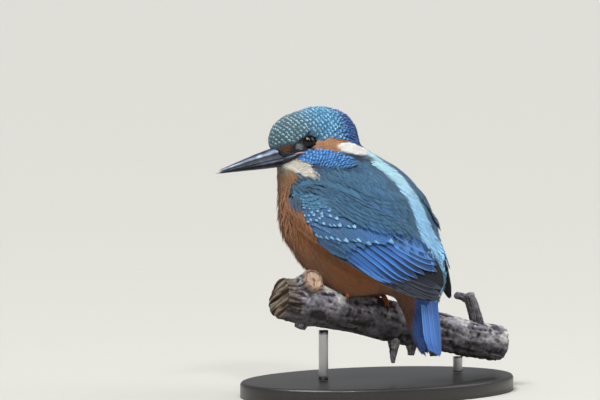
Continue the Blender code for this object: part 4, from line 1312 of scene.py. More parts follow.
def feather_set(
    part, colour, rng, kind, spacing, form, size, high=0.0, cup=0.1, deep=0.95, skew=0.08, lap=0.9, pale=0.0
):
    """Vanes of one kind over the body: rooted in rows on a part's sheet, kept where the kind grows
    strongly, and laid along the coat's flow. Spacing is between rows and within them, and size the vane's
    length and width."""
    roots, place = rows_on(sheets()[part], *spacing, rng)
    at = zones(roots)
    keep = (kinds_at(roots, at)[kind] > rng.uniform(0.25, 0.75, len(roots))) & ~hidden(roots, lap)
    roots, place, count = roots[keep], place[keep], keep.sum()
    normal = settle(roots, 0.0, bare_grid(), 1)[1]
    ways = flow(roots)
    ways = unit(ways + np.cross(normal, ways) * rng.normal(0, skew, count)[:, None])
    lengths = size[0] * rng.uniform(0.85, 1.15, count)
    widths = size[1] * rng.uniform(0.88, 1.12, count)
    low = -np.minimum(depth_of(roots), 0.35 * lengths + 0.3) * deep
    high = high + 0.9 * ramp(-roots[:, 2], 3.0, 10.0)
    high = high - 0.9 * at["throat"][keep] * ramp(-to_head(roots)[:, 1], 9.0, 5.0)
    loose = (1.2 if form is BARB else 0.4) * ramp(-roots[:, 1], 14.0, 8.0)
    loose = loose * (1 - at["upper"][keep]) * (1 - head_share(roots))
    high = high + loose * rng.uniform(0, 1, count) ** 2
    tips = high + rng.normal(0, 0.05 + 0.1 * cup, count)
    start = roots - unit(ways - normal * dot(ways, normal)) * (lengths * 0.45)[:, None]
    grid = dressed_grid() if lap < 1 else bare_grid()
    points = over_body(start, ways, lengths, widths, form, low, tips, cup, grid, rng)
    tint, light = base_colours(points.mean(axis=1), colour)
    tint = over(tint, light, pale * rng.uniform(0, 1, count) ** 3)
    return many(form, points, tint, light, rng.uniform(0.3, 1.0, count), unwrapped(part, place), rng)


def unwrapped(part, place):
    """Shares along and round a part's sheet on the unwrap's square: the head as a disc whose middle is the
    bill's root and whose rim is the nape, the trunk as a plain strip."""
    if part == "trunk":
        return 0.005 + 0.99 * place[:, ::-1]
    angle = place[:, 1] * 2 * math.pi
    return 0.5 + 0.48 * place[:, :1] * np.stack([np.cos(angle), np.sin(angle)], axis=1)


@functools.lru_cache(maxsize=None)
def sheets():
    """The head's and trunk's sheets of rings, from the front back."""
    trunk = rings_about(*body_stations(SHEET_RINGS), SHEET_SIDES, 0.0)[::-1]
    return {"head": head_rings(HEAD_RINGS, SHEET_SIDES), "trunk": trunk}


def place_on_trunk(points):
    """The shares along and round the trunk's sheet that lie nearest to points."""
    coarse = sheets()["trunk"][::2, ::2]
    spots = coarse.reshape(-1, 3)
    nearest = ((spots**2).sum(axis=1) - 2 * points @ spots.T).argmin(axis=1)
    return np.stack(np.divmod(nearest, coarse.shape[1]), axis=1) / coarse.shape[:2]


def bill_section(sign, share):
    """The bill's y, half width, meeting height, and height of its ridge or keel at shares of its length."""
    y = BILL_ROOT_Y + (BILL_TIP_Y - BILL_ROOT_Y) * share
    edge = through(BILL_STATIONS, BILL_TOPS if sign > 0 else BILL_BOTTOMS, share)
    half = through(BILL_STATIONS, BILL_HALF_WIDTHS, share)
    return y, half, BILL_GAPE_Z + (BILL_MEET_Z - BILL_GAPE_Z) * share, edge


def bill_root(colour, rng):
    """Small feathers that creep forward over the bill's root: each runs back along the horn's side, at a
    share of the way from the cutting edge to the ridge or keel, and lifts off it towards the tip."""
    shapes = []
    for sign, count, levels, firsts, tone, length in BILL_TUFTS:
        level = rng.uniform(*levels, count)
        share = np.interp(level, levels, firsts) * (1 - 0.75 * rng.uniform(0, 1, count) ** 2)
        side = rng.choice([-1.0, 1.0], count)
        t = BARB.stations[None]
        along = share[:, None] - length / (BILL_ROOT_Y - BILL_TIP_Y) * t
        rise = np.clip(level[:, None] + (0.12 if sign < 0 else 0.04) * t, 0, 1)
        y, half, meet, edge = bill_section(sign, along)
        lift = 0.1 + 0.75 * t
        x = side[:, None] * (half + lift) * np.sqrt(np.clip(1 - rise**2.3, 0.0, 1))
        line = from_head(np.stack([x, y, meet + (edge + sign * lift - meet) * rise], axis=-1))
        out = unit(line - from_head(np.stack([0 * x, y, meet], axis=-1)))
        across = np.cross(unit(np.gradient(line, axis=1)), out)
        points = vanes(line, across, np.full(count, 0.8), BARB)
        tint = colour[tone] * rng.uniform(0.85, 1.15, (count, 1))
        shapes.append(many(BARB, points, tint, tint, 0.0, 0.5 + 0.02 * rng.uniform(-1, 1, (count, 2)), rng))
    return joined(*shapes)


class KINGFISHER_OT_head_coat(PieceOperator, bpy.types.Operator):
    """The head's feathers: spotted crown and cheek stripes, and the fine plain feathers of face and
    throat"""

    bl_idname = "kingfisher.head_coat"
    bl_label = "Head feathers"

    def execute(self, context):
        colour, rng = tints_of(context.scene.kingfisher_plumage), np.random.default_rng(SEED)
        lay = functools.partial(feather_set, "head", colour, rng)
        spotted = [
            lay("cap", (1.75, 1.6), SCALE, (4.0, 2.3), high=0.05, cup=0.12, skew=0.14),
            lay("cheek", (1.5, 1.4), SCALE, (3.6, 2.1), high=0.2, cup=0.12),
        ]
        material = plumage("Cap feathers", 7.0, 0.18, fleck=0.9, size=(0.86, 0.085, 0.6), rim=-0.3)
        coat("coat_cap", spotted, material, "crown")
        soft = [
            lay("plain", (0.8, 0.75), BARB, (2.3, 0.7), skew=0.16),
            lay("pale", (1.3, 1.1), TUFT, (4.8, 2.0), high=0.1, cup=0.04, deep=0.6, skew=0.1),
            lay("pale", (0.9, 0.7), BARB, (3.2, 0.45), high=0.22, cup=0.05, deep=0.5, skew=0.14),
            bill_root(colour, rng),
        ]
        coat("coat_face", soft, plumage("Face feathers", 5.0, 0.3, rim=0.08), "crown")
        return {"FINISHED"}


def wing_flat(along, across):
    """A wing's shares in flat millimetres."""
    along, across = np.asarray(along, float), np.asarray(across, float)
    return np.stack([along * WING_LENGTH, across * wing_half(along, across)], axis=-1)


def wing_front_at(high):
    """How far back in the flat the breast's feathers reach over the wing, at heights over its middle
    line."""
    line = wing_flat(*np.array(WING_FRONT).T)[::-1]
    return np.interp(high, line[:, 1], line[:, 0])


def along_edge(shares, gap, rng):
    """Places at even gaps along a line drawn over the wing in its two shares, in flat millimetres."""
    line = wing_flat(*np.array(shares).T)
    walk = walked(line)
    count = max(2, round(walk[-1] / gap))
    at = (np.arange(count) + 0.5 + rng.uniform(-0.2, 0.2, count)) / count * walk[-1]
    return between(at, walk, line)


def over_wing(colour, rng, form, tips, fall, length, width, low, high, slate=True, nape=0.12):
    """Vanes laid over both wings' outer faces from tips in flat millimetres, with their fall in degrees.
    They are slate, azure towards the tertials, or else in the body's own colours."""
    count = len(tips)
    fall = np.radians(fall + rng.normal(0, 5, count))
    lengths = length * rng.uniform(0.85, 1.15, count)
    roots = tips - np.stack([np.cos(fall), np.sin(fall)], axis=1) * lengths[:, None]
    start, end = (wing_points(flat, np.ones(count)) for flat in (roots, tips))
    keep = head_share(start) < nape
    tips, lengths, count = tips[keep], lengths[keep], keep.sum()
    start, end = (settle(ends[keep], 0.0, dressed_grid(), 3)[0] for ends in (start, end))
    widths = width * rng.uniform(0.85, 1.15, count)
    points = over_body(start, unit(end - start), lengths, widths, form, low, high, 0.04, dressed_grid(), rng)
    tint, light = base_colours(points.mean(axis=1), colour)
    if slate:
        light = colour["mantle_light"]
        tint = over(colour["mantle"], light, rng.uniform(0, 0.6, count))
        tint = over(tint, colour["azure"], ramp(tips[:, 0], 44.0, 18.0) * ramp(-tips[:, 1], -9.5, 6.0) * 0.5)
        # Painted shade: the wing's feathers darken towards its front, where it tucks under the breast and neck
        # feathers.
        tint = tint * (1 - 0.5 * ramp(-tips[:, 0], -13.0, 10.0))[:, None]
    place = unwrapped("trunk", place_on_trunk(start))
    shape = many(form, points, tint, light, rng.uniform(0.5, 1, count), place, rng)
    return joined(shape, mirror(*shape))


def scapulars(colour, rng):
    """The scapulars: broad vanes from the back over the folded wing's upper edge, and barbs between them."""
    shapes = []
    for row in range(5):
        tips = along_edge(SCAPULAR_EDGE, 2.6, rng) + [-0.8 * row, 2.3 * row]
        shapes.append(over_wing(colour, rng, PLUME, tips, -14.0 + 2 * row, 10.5, 5.6, 0.1, 0.5))
    edge = ((0.08, 0.7), (0.14, 0.86), (0.2, 0.84), *SCAPULAR_EDGE[1:])
    for row in range(9):
        tips = along_edge(edge, 0.95, rng) + [0.6 - 0.9 * row, 1.5 * row - 0.9]
        shapes.append(over_wing(colour, rng, BARB, tips, -16.0 + row, 5.4, 0.95, 0.2, 0.8, nape=0.5))
    return joined(*shapes)


def wing_front(colour, rng):
    """Breast feathers that lap over the folded wing's front."""
    shapes = []
    for row in range(6):
        tips = along_edge(WING_FRONT, 1.5, rng) + [-1.7 * row - 0.6, -0.5 * row]
        shapes.append(over_wing(colour, rng, TUFT, tips, -38.0, 5.6, 2.4, -0.2, 0.3, slate=False))
        tips = along_edge(WING_FRONT, 0.7, rng) + [-1.7 * row + 0.2, -0.5 * row]
        shapes.append(over_wing(colour, rng, BARB, tips, -38.0, 4.0, 0.6, 0.0, 0.5, slate=False))
    return joined(*shapes)


class KINGFISHER_OT_body_coat(PieceOperator, bpy.types.Operator):
    """The body's feathers: soft underparts, slate mantle and scapulars, and the silky stripe down the
    back"""

    bl_idname = "kingfisher.body_coat"
    bl_label = "Body feathers"

    def execute(self, context):
        colour, rng = tints_of(context.scene.kingfisher_plumage), np.random.default_rng(SEED + 1)
        lay = functools.partial(feather_set, "trunk", colour, rng)
        soft = [
            lay("under", (2.6, 2.5), TUFT, (7.2, 3.8), high=-0.3, cup=0.04, deep=0.6, skew=0.1, lap=4.0),
            lay("under", (1.4, 1.15), BARB, (4.8, 1.05), high=0.02, cup=0.03, deep=0.4, skew=0.14, lap=4.0),
            wing_front(colour, rng),
        ]
        coat("coat_underparts", soft, plumage("Underpart feathers", 6.0, 0.3, rim=0.06), "orange")
        slate = [
            lay("mantle", (2.8, 2.5), PLUME, (9.5, 5.4), high=-0.3, cup=0.015, deep=0.35, skew=0.06),
            lay("mantle", (1.3, 1.05), BARB, (5.4, 0.8), high=-0.02, cup=0.02, deep=0.45, skew=0.12, pale=0.55),
            scapulars(colour, rng),
        ]
        coat("coat_mantle", slate, plumage("Mantle feathers", 12.0, 0.35, shaft=0.2), "orange")
        silk = [
            lay("silk", (1.7, 1.4), PLUME, (7.5, 2.4), high=0.2, cup=0.03, deep=0.6, skew=0.08),
            lay("silk", (1.4, 0.9), BARB, (5.0, 0.55), high=0.4, cup=0.05, deep=0.6, skew=0.1),
        ]
        coat("coat_stripe", silk, plumage("Stripe feathers", 3.0, 0.9, rim=0.12), "orange")
        return {"FINISHED"}


def flat_vanes(roots, tips, widths, bends, form):
    """Vanes in the flat: a parabola's bend from root to tip, and barbs square to it. Returns (N, V, 2)."""
    way = tips - roots
    length = np.linalg.norm(way, axis=1, keepdims=True)
    way = way / length
    side = np.stack([way[:, 1], -way[:, 0]], axis=1)
    bow = bends[:, None] * form.s * (form.s - 1) * 4
    aside = form.c * form.halves[form.station] * widths[:, None] / 2 + bow
    return roots[:, None] + way[:, None] * (form.s * length)[..., None] + side[:, None] * aside[..., None]


def wing_layout(rng):
    """Every feather of the wing: kind, root and tip in flat millimetres, width, bend, levels at root and
    tip, and roll. The quills and the longest coverts come first, then the rows of coverts up to the
    shoulder."""
    rows = []

    def add(kind, roots, tips, *sizes):
        rows.append((kind, roots, tips, *(np.broadcast_to(np.asarray(v, float), len(roots)) for v in sizes)))

    u = evenly(WING_QUILLS)
    tip = wing_flat(*(np.interp(u, PRIMARY_TIPS[0], shares) for shares in PRIMARY_TIPS[1:]))
    add("primary", wing_flat(0.42 + 0.14 * u, -0.95 + 0.55 * u), tip, *QUILL_SIZES["primary"])
    fifths = evenly(5)
    start, tip = (wing_flat(*(np.interp(u, fifths, shares) for shares in ends)) for ends in SECONDARY_ENDS)
    add("secondary", start - (tip - start) * 0.35, tip, *QUILL_SIZES["secondary"])
    add("tertial", *(wing_flat(*ends) for ends in TERTIAL_ENDS), *QUILL_SIZES["tertial"])
    tip = along_edge(OUTER_EDGE, 2.6, rng)
    add("outer", tip - [12.5, -5.0], tip + rng.normal(0, 0.3, tip.shape), *QUILL_SIZES["outer"])
    for row in range(13):
        kind, edge, gap, fall, length, width, wobble = COVERT_ROWS[min(row, 4)]
        tip = along_edge(COVERT_EDGES[edge], gap, rng)
        fall = np.radians(fall) + rng.normal(0, 0.05, len(tip))
        way = np.stack([np.cos(fall), np.sin(fall)], axis=1)
        beyond = max(0, row - 3) * ROW_STEP
        tip = tip - [beyond * 0.95, -beyond * 0.3] + rng.normal(0, wobble, tip.shape)
        x, y = tip.T
        keep = (x > wing_front_at(y)) & (np.abs(y) < wing_half(x / WING_LENGTH, y) * 1.08)
        keep &= (x > 20.0) | (y < 8.6)
        roots = (tip - way * length * rng.uniform(0.9, 1.1, (len(tip), 1)))[keep]
        if len(roots):
            widths = width * rng.uniform(0.92, 1.08, len(roots))
            add(kind, roots, tip[keep], widths, 0.1, 0.78, 0.98 + 0.008 * row, 0.1)
    for row in range(4):
        u = (np.arange(15 - row) + 0.5 * (row % 2)) / 14
        tip = wing_flat(0.24 + 0.29 * u, -1.0 + 0.04 * u) + [-1.2 * row, 2.0 * row]
        tip = tip + rng.normal(0, 0.2, tip.shape)
        add("hand", tip - [7.5, -2.6], tip, 3.2, 0.2, 0.6, 0.86 + 0.03 * row, 0.14)
    return rows


def wing_tints(kind, form, tips, colour, rng):
    """The tint of each point of each wing feather, its lighter colour, and how strong its spot is."""
    count = len(tips)
    c, s = form.c[None], form.s[None]
    shade_of = rng.uniform(0.88, 1.12, count)[:, None, None]
    strength = rng.uniform(0.7, 1.0, count)
    light = colour["covert_spot"]
    if kind == "primary":
        light, strength = colour["primary_light"], 0.0
        base = over(colour["primary"], light, ramp(c, 0.82, 0.3) * 0.8 + ramp(s, 0.93, 0.1) * 0.35)
    elif kind == "secondary":
        light, strength = colour["azure_light"], 0.0
        base = over(colour["azure"], light, ramp(c, 0.85, 0.3) * 0.6)
        # Dark inner vanes: the quills' own dark inner webs, with the shadow under each next quill painted in as
        # well.
        base = over(base, colour["slot"], ramp(0.3 + 0.45 * s**2 - c, 0.0, 0.16) * 0.98)
        base = over(base, colour["covert"], ramp(-s, -0.45, 0.3) * 0.5)
    elif kind == "tertial":
        light, strength = colour["azure_light"], 0.0
        base = over(colour["covert"], colour["slot"], ramp(-np.abs(c), -0.55, 0.5) * 0.55)
        base = over(base, light, ramp(c, 0.78, 0.4) * 0.75)
    elif kind in ("outer", "greater"):
        place = tips[:, :1] / WING_LENGTH
        base = over(colour["covert"], colour["azure"], 0.06 + 0.4 * ramp(place, 0.62, 0.16))
        fading = ramp(-place[:, 0], -0.6, 0.1) + 0.7 * (rng.uniform(0, 1, count) > 0.8)
        strength = strength * (0 if kind == "outer" else np.clip(fading, 0, 1))
    else:
        # Lesser coverts in teal: their own greenish blue, with their sheen painted into the colour as well.
        base = over(colour["covert"], colour["shoulder"], 0.65 if kind == "lesser" else 0.0)
        strength = strength * (1.0 if kind == "median" else 0.2)
    return base * shade_of, light, strength


def wing_points(flat, level):
    """Points over the wing at a level: 0 on its inner face, 1 on its outer one."""
    along, across = flat[..., 0].ravel() / WING_LENGTH, flat[..., 1].ravel()
    across = across / wing_half(np.clip(along, 0, 1), across)
    inner, outward = wing_sheet(along, across)
    thick = np.maximum(wing_thickness(along, across), 1.0)
    return (inner + outward * (thick * level.ravel())[:, None]).reshape(*flat.shape[:-1], 3)


def flat_unwrap(flat, high):
    """Flat millimetres over a wing or tail on the unwrap's square."""
    return np.clip(0.02 + 0.96 * (flat - [0.0, -high]) / [WING_LENGTH * 1.06, 2 * high], 0, 1)


def inside_out(points, faces, *rest):
    return points, faces[:, ::-1], *rest


def mirror(points, faces, *rest):
    """A shape on the other side of the bird, its faces turned to face outwards again."""
    return inside_out(points * [-1.0, 1.0, 1.0], faces, *rest)


def wing_core():
    """The wing's inner shell, under all the feathers: its inner sheet, and one a share of the thickness
    outside. Returns it with each point's share of the way along the wing, and whether it faces the body."""
    stations = np.linspace(0.01, 0.985, 60)
    spread = np.sin(np.linspace(-math.pi / 2, math.pi / 2, 26)) * 0.97
    along, across = crossed(stations, spread)
    rounding = np.clip(np.sqrt(along / 0.06), 0.45, 1) * np.clip(np.sqrt((1.003 - along) / 0.03), 0.3, 1)
    inner, outward = wing_sheet(along, across * rounding)
    outer = inner + outward * (wing_thickness(along, across) * 0.3)[:, None]
    shape = (len(stations), len(spread), 3)
    points, faces = tube(np.concatenate([outer.reshape(shape), inner.reshape(shape)[:, ::-1]], axis=1))
    inner = np.append(np.tile(np.arange(2 * len(spread)) >= len(spread), len(stations)), [False, False])
    return points, faces, np.append(np.repeat(stations, 2 * len(spread)), [0.0, 1.0]), inner


class KINGFISHER_OT_wings(PieceOperator, bpy.types.Operator):
    """Both folded wings: a dark shell, and quills and coverts laid over it in rows"""

    bl_idname = "kingfisher.wings"
    bl_label = "Wings"

    def execute(self, context):
        colour = tints_of(context.scene.kingfisher_plumage)
        gloss = {"slant": 0.55, "roughness": 0.42, "sheen": 0.05}
        materials = {
            "quills": plumage("Quills", 26.0, 0.22, rim=0.04, shaft=0.35, **gloss),
            "coverts": plumage(
                "Coverts", 10.0, 0.25, fleck=1.0, size=(0.91, 0.1, 0.4), rim=-0.1, shaft=0.2, roughness=0.5,
                sheen=0.05
            ),
        }
        shell = tinted("Wing shell", Roughness=0.8)
        for side, sign in (("left", 1), ("right", -1)):
            rng = np.random.default_rng(SEED + 2 + sign)
            groups = {"quills": [], "coverts": []}
            for kind, roots, tips, widths, bends, low, high, roll in wing_layout(rng):
                form = WING_KINDS.get(kind, COVERT)
                tips = tips + rng.normal(0, 0.18, tips.shape)
                flat = flat_vanes(roots, tips, widths, bends, form)
                level = low[:, None] + (high - low)[:, None] * form.s**0.8
                level = level + roll[:, None] * form.c - 0.07 * form.c**2
                points = wing_points(flat, level)
                paint = wing_tints(kind, form, tips, colour, rng)
                shape = many(form, points, *paint, flat_unwrap(roots, UNWRAP_WING), rng)
                groups["quills" if form is QUILL else "coverts"].append(shape if sign > 0 else mirror(*shape))
            points, faces, along, inner = wing_core()
            tint = over(colour["slot"], colour["mantle"], ramp(-along, -0.3, 0.2))
            # The face towards the body is in the underwing's rufous, darkened by a fifth as painted shade.
            tint = over(tint, colour["breast"] * 0.8, ramp(-along, -0.5, 0.2) * inner)
            core = build(f"wing_shell_{side}", points * [sign, 1, 1], faces[:, ::sign], tint)
            dress(core, shell, "blue", f"wing_{side}")
            for group, shapes in groups.items():
                coat(f"{group}_{side}", shapes, materials[group], "blue", f"wing_{side}")
        return {"FINISHED"}


def tail_points(flat, level, face):
    """Points over the tail's back (face 1) or front (face -1) at a height over its middle sheet."""
    along = flat[..., 0].ravel() / TAIL_LENGTH
    points, backward = tail_sheet(along, flat[..., 1].ravel() / tail_half(along))
    return (points + backward * (face * level.ravel())[:, None]).reshape(*flat.shape[:-1], 3)


def tail_quill(face, rank, hand, tone, light, rng):
    """One tail quill: the middle one is rank 0, and the others lie lower and shorter rank by rank to each
    hand."""
    place = hand * rank * 1.02
    root = np.array([[0.2, place * 0.72]])
    tip = np.array([[TAIL_LENGTH * (1.0 - 0.016 * rank) - 0.2, place * 0.86]])
    flat = flat_vanes(root, tip, np.array([4.9 - 0.15 * rank]), np.array([0.0]), QUILL)
    c, s = QUILL.c, QUILL.s
    level = 0.42 + (0.95 - 0.1 * rank) * 0.55 - 0.1 * s - 0.14 * c**2 * 0.5 - 0.05 * hand * c
    tint = over(tone, light, ramp(np.abs(c), 0.8, 0.4)[None] * 0.5) * rng.uniform(0.85, 1.12)
    return many(QUILL, tail_points(flat, level, face), tint, light, 0.0, flat_unwrap(root, UNWRAP_TAIL), rng)


def tail_coverts(face, tone, light, rng):
    """The small feathers over the quills' roots, longest in the middle."""
    count = 15 if face > 0 else 11
    across = np.linspace(-1, 1, count) * TAIL_COVERT_SPAN
    reached = 9.5 - 3.2 * (across / TAIL_COVERT_SPAN) ** 2 + rng.normal(0, 0.8, count)
    tips = np.stack([reached, across], axis=1)
    roots = np.stack([np.full(count, -2.5), across * 0.85], axis=1)
    flat = flat_vanes(roots, tips, np.full(count, 3.0), np.zeros(count), PLUME)
    level = 0.9 + 0.5 * PLUME.s**0.6 + rng.normal(0, 0.1, count)[:, None]
    tint = tone * rng.uniform(0.85, 1.1, (count, 1))
    return many(PLUME, tail_points(flat, level, face), tint, light, 0.0, flat_unwrap(roots, UNWRAP_TAIL), rng)


class KINGFISHER_OT_tail(PieceOperator, bpy.types.Operator):
    """The tail: quills in a closed fan, with their coverts above and below"""

    bl_idname = "kingfisher.tail"
    bl_label = "Tail"

    def execute(self, context):
        colour = tints_of(context.scene.kingfisher_plumage)
        rng = np.random.default_rng(SEED + 5)
        places = [(0, 1)] + [(rank, hand) for rank in range(1, 6) for hand in (-1, 1)]
        shapes = []
        for face, tones in TAIL_TONES.items():
            quill, quill_light, covert, covert_light = (colour[tone] for tone in tones)
            layer = [tail_quill(face, rank, hand, quill, quill_light, rng) for rank, hand in places]
            layer.append(tail_coverts(face, covert, covert_light, rng))
            shapes += layer if face > 0 else [inside_out(*shape) for shape in layer]
        gloss = {"slant": 0.55, "roughness": 0.45, "sheen": 0.05}
        material = plumage("Tail quills", 22.0, 0.35, rim=0.05, shaft=0.4, **gloss)
        coat("tail_quills", shapes, material, "blue", "tail")
        share, spin = evenly(40), circle(32)
        along, across = np.broadcast_arrays((share * TAIL_LENGTH * 0.97 + 0.1)[:, None], 0.94 * np.cos(spin))
        flat = np.stack([along, across * tail_half(share)[:, None]], axis=-1)
        level = np.broadcast_to(0.42 * np.sin(spin), along.shape)
        core = build("tail_shell", *tube(tail_points(flat, level, 1)))
        shell = new_material("Tail shell", Roughness=0.8, Base_Color=(*colour["slot"], 1.0))[0]
        dress(core, shell, "blue", "tail")
        return {"FINISHED"}


def mandible(sign):
    """One mandible: rounded outside, its ridge sharpened towards the tip, and flat where the two meet.
    Returns rings, and each point's share along the bill and height from the cutting edge to the ridge."""
    share = (1 - (1 - evenly(110)) ** 1.5)[:, None]
    y, half, meet, edge = bill_section(sign, share)
    meet = meet + sign * BILL_SLIT / 2
    spin = np.linspace(0, math.pi, 57)
    bulge = np.sin(spin)
    slim = 1 - 0.1 * bulge * np.abs(np.cos(spin))
    level = np.concatenate([bulge**0.85, np.zeros(7)])
    groove = np.exp(-(((level - 0.42) / 0.13) ** 2)) * ramp(-share, -0.62, 0.4) * ramp(share, 0.03, 0.05)
    x = half * np.concatenate([np.cos(spin) * slim, np.linspace(-0.9, 0.9, 7)])
    x = x * (1 - (0.085 if sign > 0 else 0.03) * groove)
    x, y, z, share, level = np.broadcast_arrays(x, y, meet + (edge - meet) * level, share, level)
    return from_head(np.stack([x, y, z], axis=-1)), share, level


def jaw(side, rise):
    """The horn's rear on one side, above the mouth line (rise 1) or below it (-1): a closed, crowned lens
    that narrows to the mouth's corner, its outer face where rays from the head's middle plane leave the
    head."""
    y = np.linspace(JAW_STATIONS[0], JAW_STATIONS[-1], 36)[:, None]
    share = evenly(15)[None]
    mouth = through(JAW_STATIONS, JAW_MOUTH, y) + rise * 0.06
    edge = through(JAW_STATIONS, JAW_TOPS if rise > 0 else JAW_BOTTOMS, y)
    flank = np.stack(np.broadcast_arrays(0.0, y, mouth + (edge - mouth) * share), axis=-1)
    out = HEAD_TURN @ [side, 0.0, 0.0]
    outer = reach(from_head(flank), np.broadcast_to(out, flank.shape), -0.35, 20.0, bare_grid())
    crown = 0.62 * np.sqrt(np.sin(math.pi * np.clip(share, 0.02, 0.98)))
    crown = crown * np.clip((y - JAW_STATIONS[-1]) / -2.0, 0.1, 1)
    sections = [outer + out * crown[..., None], (outer - out * 1.6)[:, ::-1]]
    points, faces = tube(np.concatenate(sections, axis=1))
    # Painted highlight: a pale band along the mouth line in the bill's sheen colour, strongest on the lower
    # jaw.
    pale = np.exp(-(((share - 0.2) / 0.16) ** 2)) * (0.2 if rise > 0 else 0.75) * ramp(y, -9.5, 9.0)
    return points, faces, np.append(np.concatenate([pale, 0 * pale], axis=1).ravel(), [0.0, 0.0])


class KINGFISHER_OT_bill(PieceOperator, bpy.types.Operator):
    """The bill: both mandibles in horn, with a groove to the nostril and a pale tip"""

    bl_idname = "kingfisher.bill"
    bl_label = "Bill"

    def execute(self, context):
        face = tints_of(context.scene.kingfisher_face)
        greys, relief = ((0.7, 0.7, 0.72), (1.3, 1.3, 1.28)), (0.0002, 0.35)
        material = tinted("Horn", (700.0, 1.6), greys, relief, Roughness=0.34, Specular_IOR_Level=0.35)
        for sign, name, node in ((1, "upper", "bill_upper"), (-1, "lower", "bill_lower")):
            rings, share, level = mandible(sign)
            points, faces = tube(rings)
            share, level = np.append(share.ravel(), [0, 1]), np.append(level.ravel(), [0.5, 0])
            # Painted reflection: the sky's lilac-grey sheen along the upper bill's flank and cutting edge, and
            # along the lower bill's keel.
            painted_sheen = np.exp(-(((level - 0.72) / 0.15) ** 2)) * (0.95 if sign > 0 else 0.15)
            painted_sheen = painted_sheen + (sign > 0) * 0.25 * ramp(-level, -0.2, 0.2)
            keel = np.exp(-(((level - 0.14) / 0.12) ** 2)) * ramp(-share, -0.45, 0.4)
            painted_sheen = painted_sheen + (sign < 0) * 0.5 * keel
            painted_sheen = painted_sheen * (0.6 + 0.4 * grain(points, 2.5, 3)) * ramp(share, 0.03, 0.1)
            tint = over(face["horn"], face["horn_light"], painted_sheen)
            shapes = [(points, faces, over(tint, face["horn_tip"], ramp(share, 0.945, 0.07) * 0.85))]
            for side in (1, -1):
                points, faces, pale = jaw(side, sign)
                shapes.append((points, faces, over(face["horn"], face["horn_light"], pale)))
            dress(build(f"{name}_mandible", *joined(*shapes)), material, "bill", node)
        return {"FINISHED"}


class KINGFISHER_OT_eyes(PieceOperator, bpy.types.Operator):
    """The eyes: wet balls with a bulging cornea over a dark brown iris and a black pupil"""

    bl_idname = "kingfisher.eyes"
    bl_label = "Eyes"

    def execute(self, context):
        face = tints_of(context.scene.kingfisher_face)
        material = tinted("Eye", Roughness=0.05, Specular_IOR_Level=0.3)
        for sign, side in ((1, "left"), (-1, "right")):
            middle, outward = eye_axis(sign)
            first = unit(np.cross(outward, UP))
            lean = np.linspace(0.01, math.pi - 0.01, 64)[:, None, None]
            radius = EYE_RADIUS * (0.985 + 0.06 * np.exp(-((lean / 0.62) ** 4)))
            ways = np.cos(lean) * outward + np.sin(lean) * wheel(first, np.cross(outward, first), 72)
            at = np.append(np.repeat(lean.ravel(), 72), [0.0, math.pi])
            tint = over(face["iris"], PUPIL, ramp(-at, -0.42, 0.06))
            tint = over(tint, EYE_RIM, ramp(at, 0.86, 0.1) * 0.9)
            ball = build(f"eyeball_{side}", *tube(middle + radius * ways), tint)
            dress(ball, material, "eye", f"eye_{side}")
        return {"FINISHED"}


def branch_axis(at):
    level = at[:, None] * BRANCH_ALONG + BRANCH_MIDDLE
    return np.column_stack([level, through(BRANCH_STATIONS, BRANCH_DROP, at)])


def branch_points(along):
    """The branch's axis, radius and direction at distances along it from under the feet."""
    way = unit(branch_axis(along + 0.5) - branch_axis(along - 0.5))
    return branch_axis(along), through(BRANCH_STATIONS, BRANCH_RADII, along), way


def branch_point(along):
    return (values[0] for values in branch_points(np.array([along])))


def toe_line(place, ankle, sign, sweep):
    """A toe's middle line: from the ankle over the branch's top and round it by an angle."""
    centre, radius, way = branch_point(place)
    front = unit(np.cross(UP, way)) * sign
    top = np.cross(way, front) * sign
    angle = np.radians(np.linspace(8.0, sweep, 6))[:, None]
    away = radius * BARK_SWELL + TOE_RADIUS + 0.3
    round_wood = centre + away * (np.cos(angle) * top + np.sin(angle) * front)
    return np.concatenate([[ankle * 0.8 + round_wood[0] * 0.2], round_wood])


def resampled(line, count):
    """The same line at even distances, smoothed through its points."""
    walk = walked(line)
    even = np.linspace(0, walk[-1], count)
    return np.stack([through(walk, line[:, axis], even) for axis in range(3)], axis=1)


def scuted(line, radii, start, colour, pitch=0.62, sides=28):
    """A scaled toe or shank: a tube whose back swells into plates, parted by creases. Radius = r (1 +
    plate)."""
    walk = walked(line)
    top = ramp(np.cos(circle(sides)), 0.1, 0.8)
    saw = (walk / pitch) % 1.0
    plate = (saw**0.5 * (1 - saw**8))[:, None]
    waves = 1 + 0.1 * top * (plate - 0.6) + 0.05 * (1 - top) * np.sin(walk / 1.3 * math.pi)[:, None]
    points, faces = tube(round_rings(line, radii, sides, start, waves))
    crease = np.append((top * (1 - ramp(plate, 0.35, 0.5)) + (1 - top) * 0.25).ravel(), [0.5, 0.5])
    return points, faces, over(colour["foot"], colour["foot_dark"], crease * 0.75)


def claw(tip, way, inward, colour, sides=18):
    """A claw: a tapered tube from a gap past the toe's tip, bent inwards by the square of the way along
    it."""
    step = evenly(26)
    line = tip + way * (GAP * 0.4 + step * 3.1)[:, None] + inward * (step**2 * 0.8)[:, None]
    points, faces = tube(round_rings(line, CLAW_RADIUS * (1 - step) ** 0.8 + 0.06, sides, -inward))
    blend = np.append(np.repeat(step, sides), [0, 1])
    return points, faces, over(colour["claw"], colour["claw_tip"], ramp(blend, 0.8, 0.4) * 0.6)


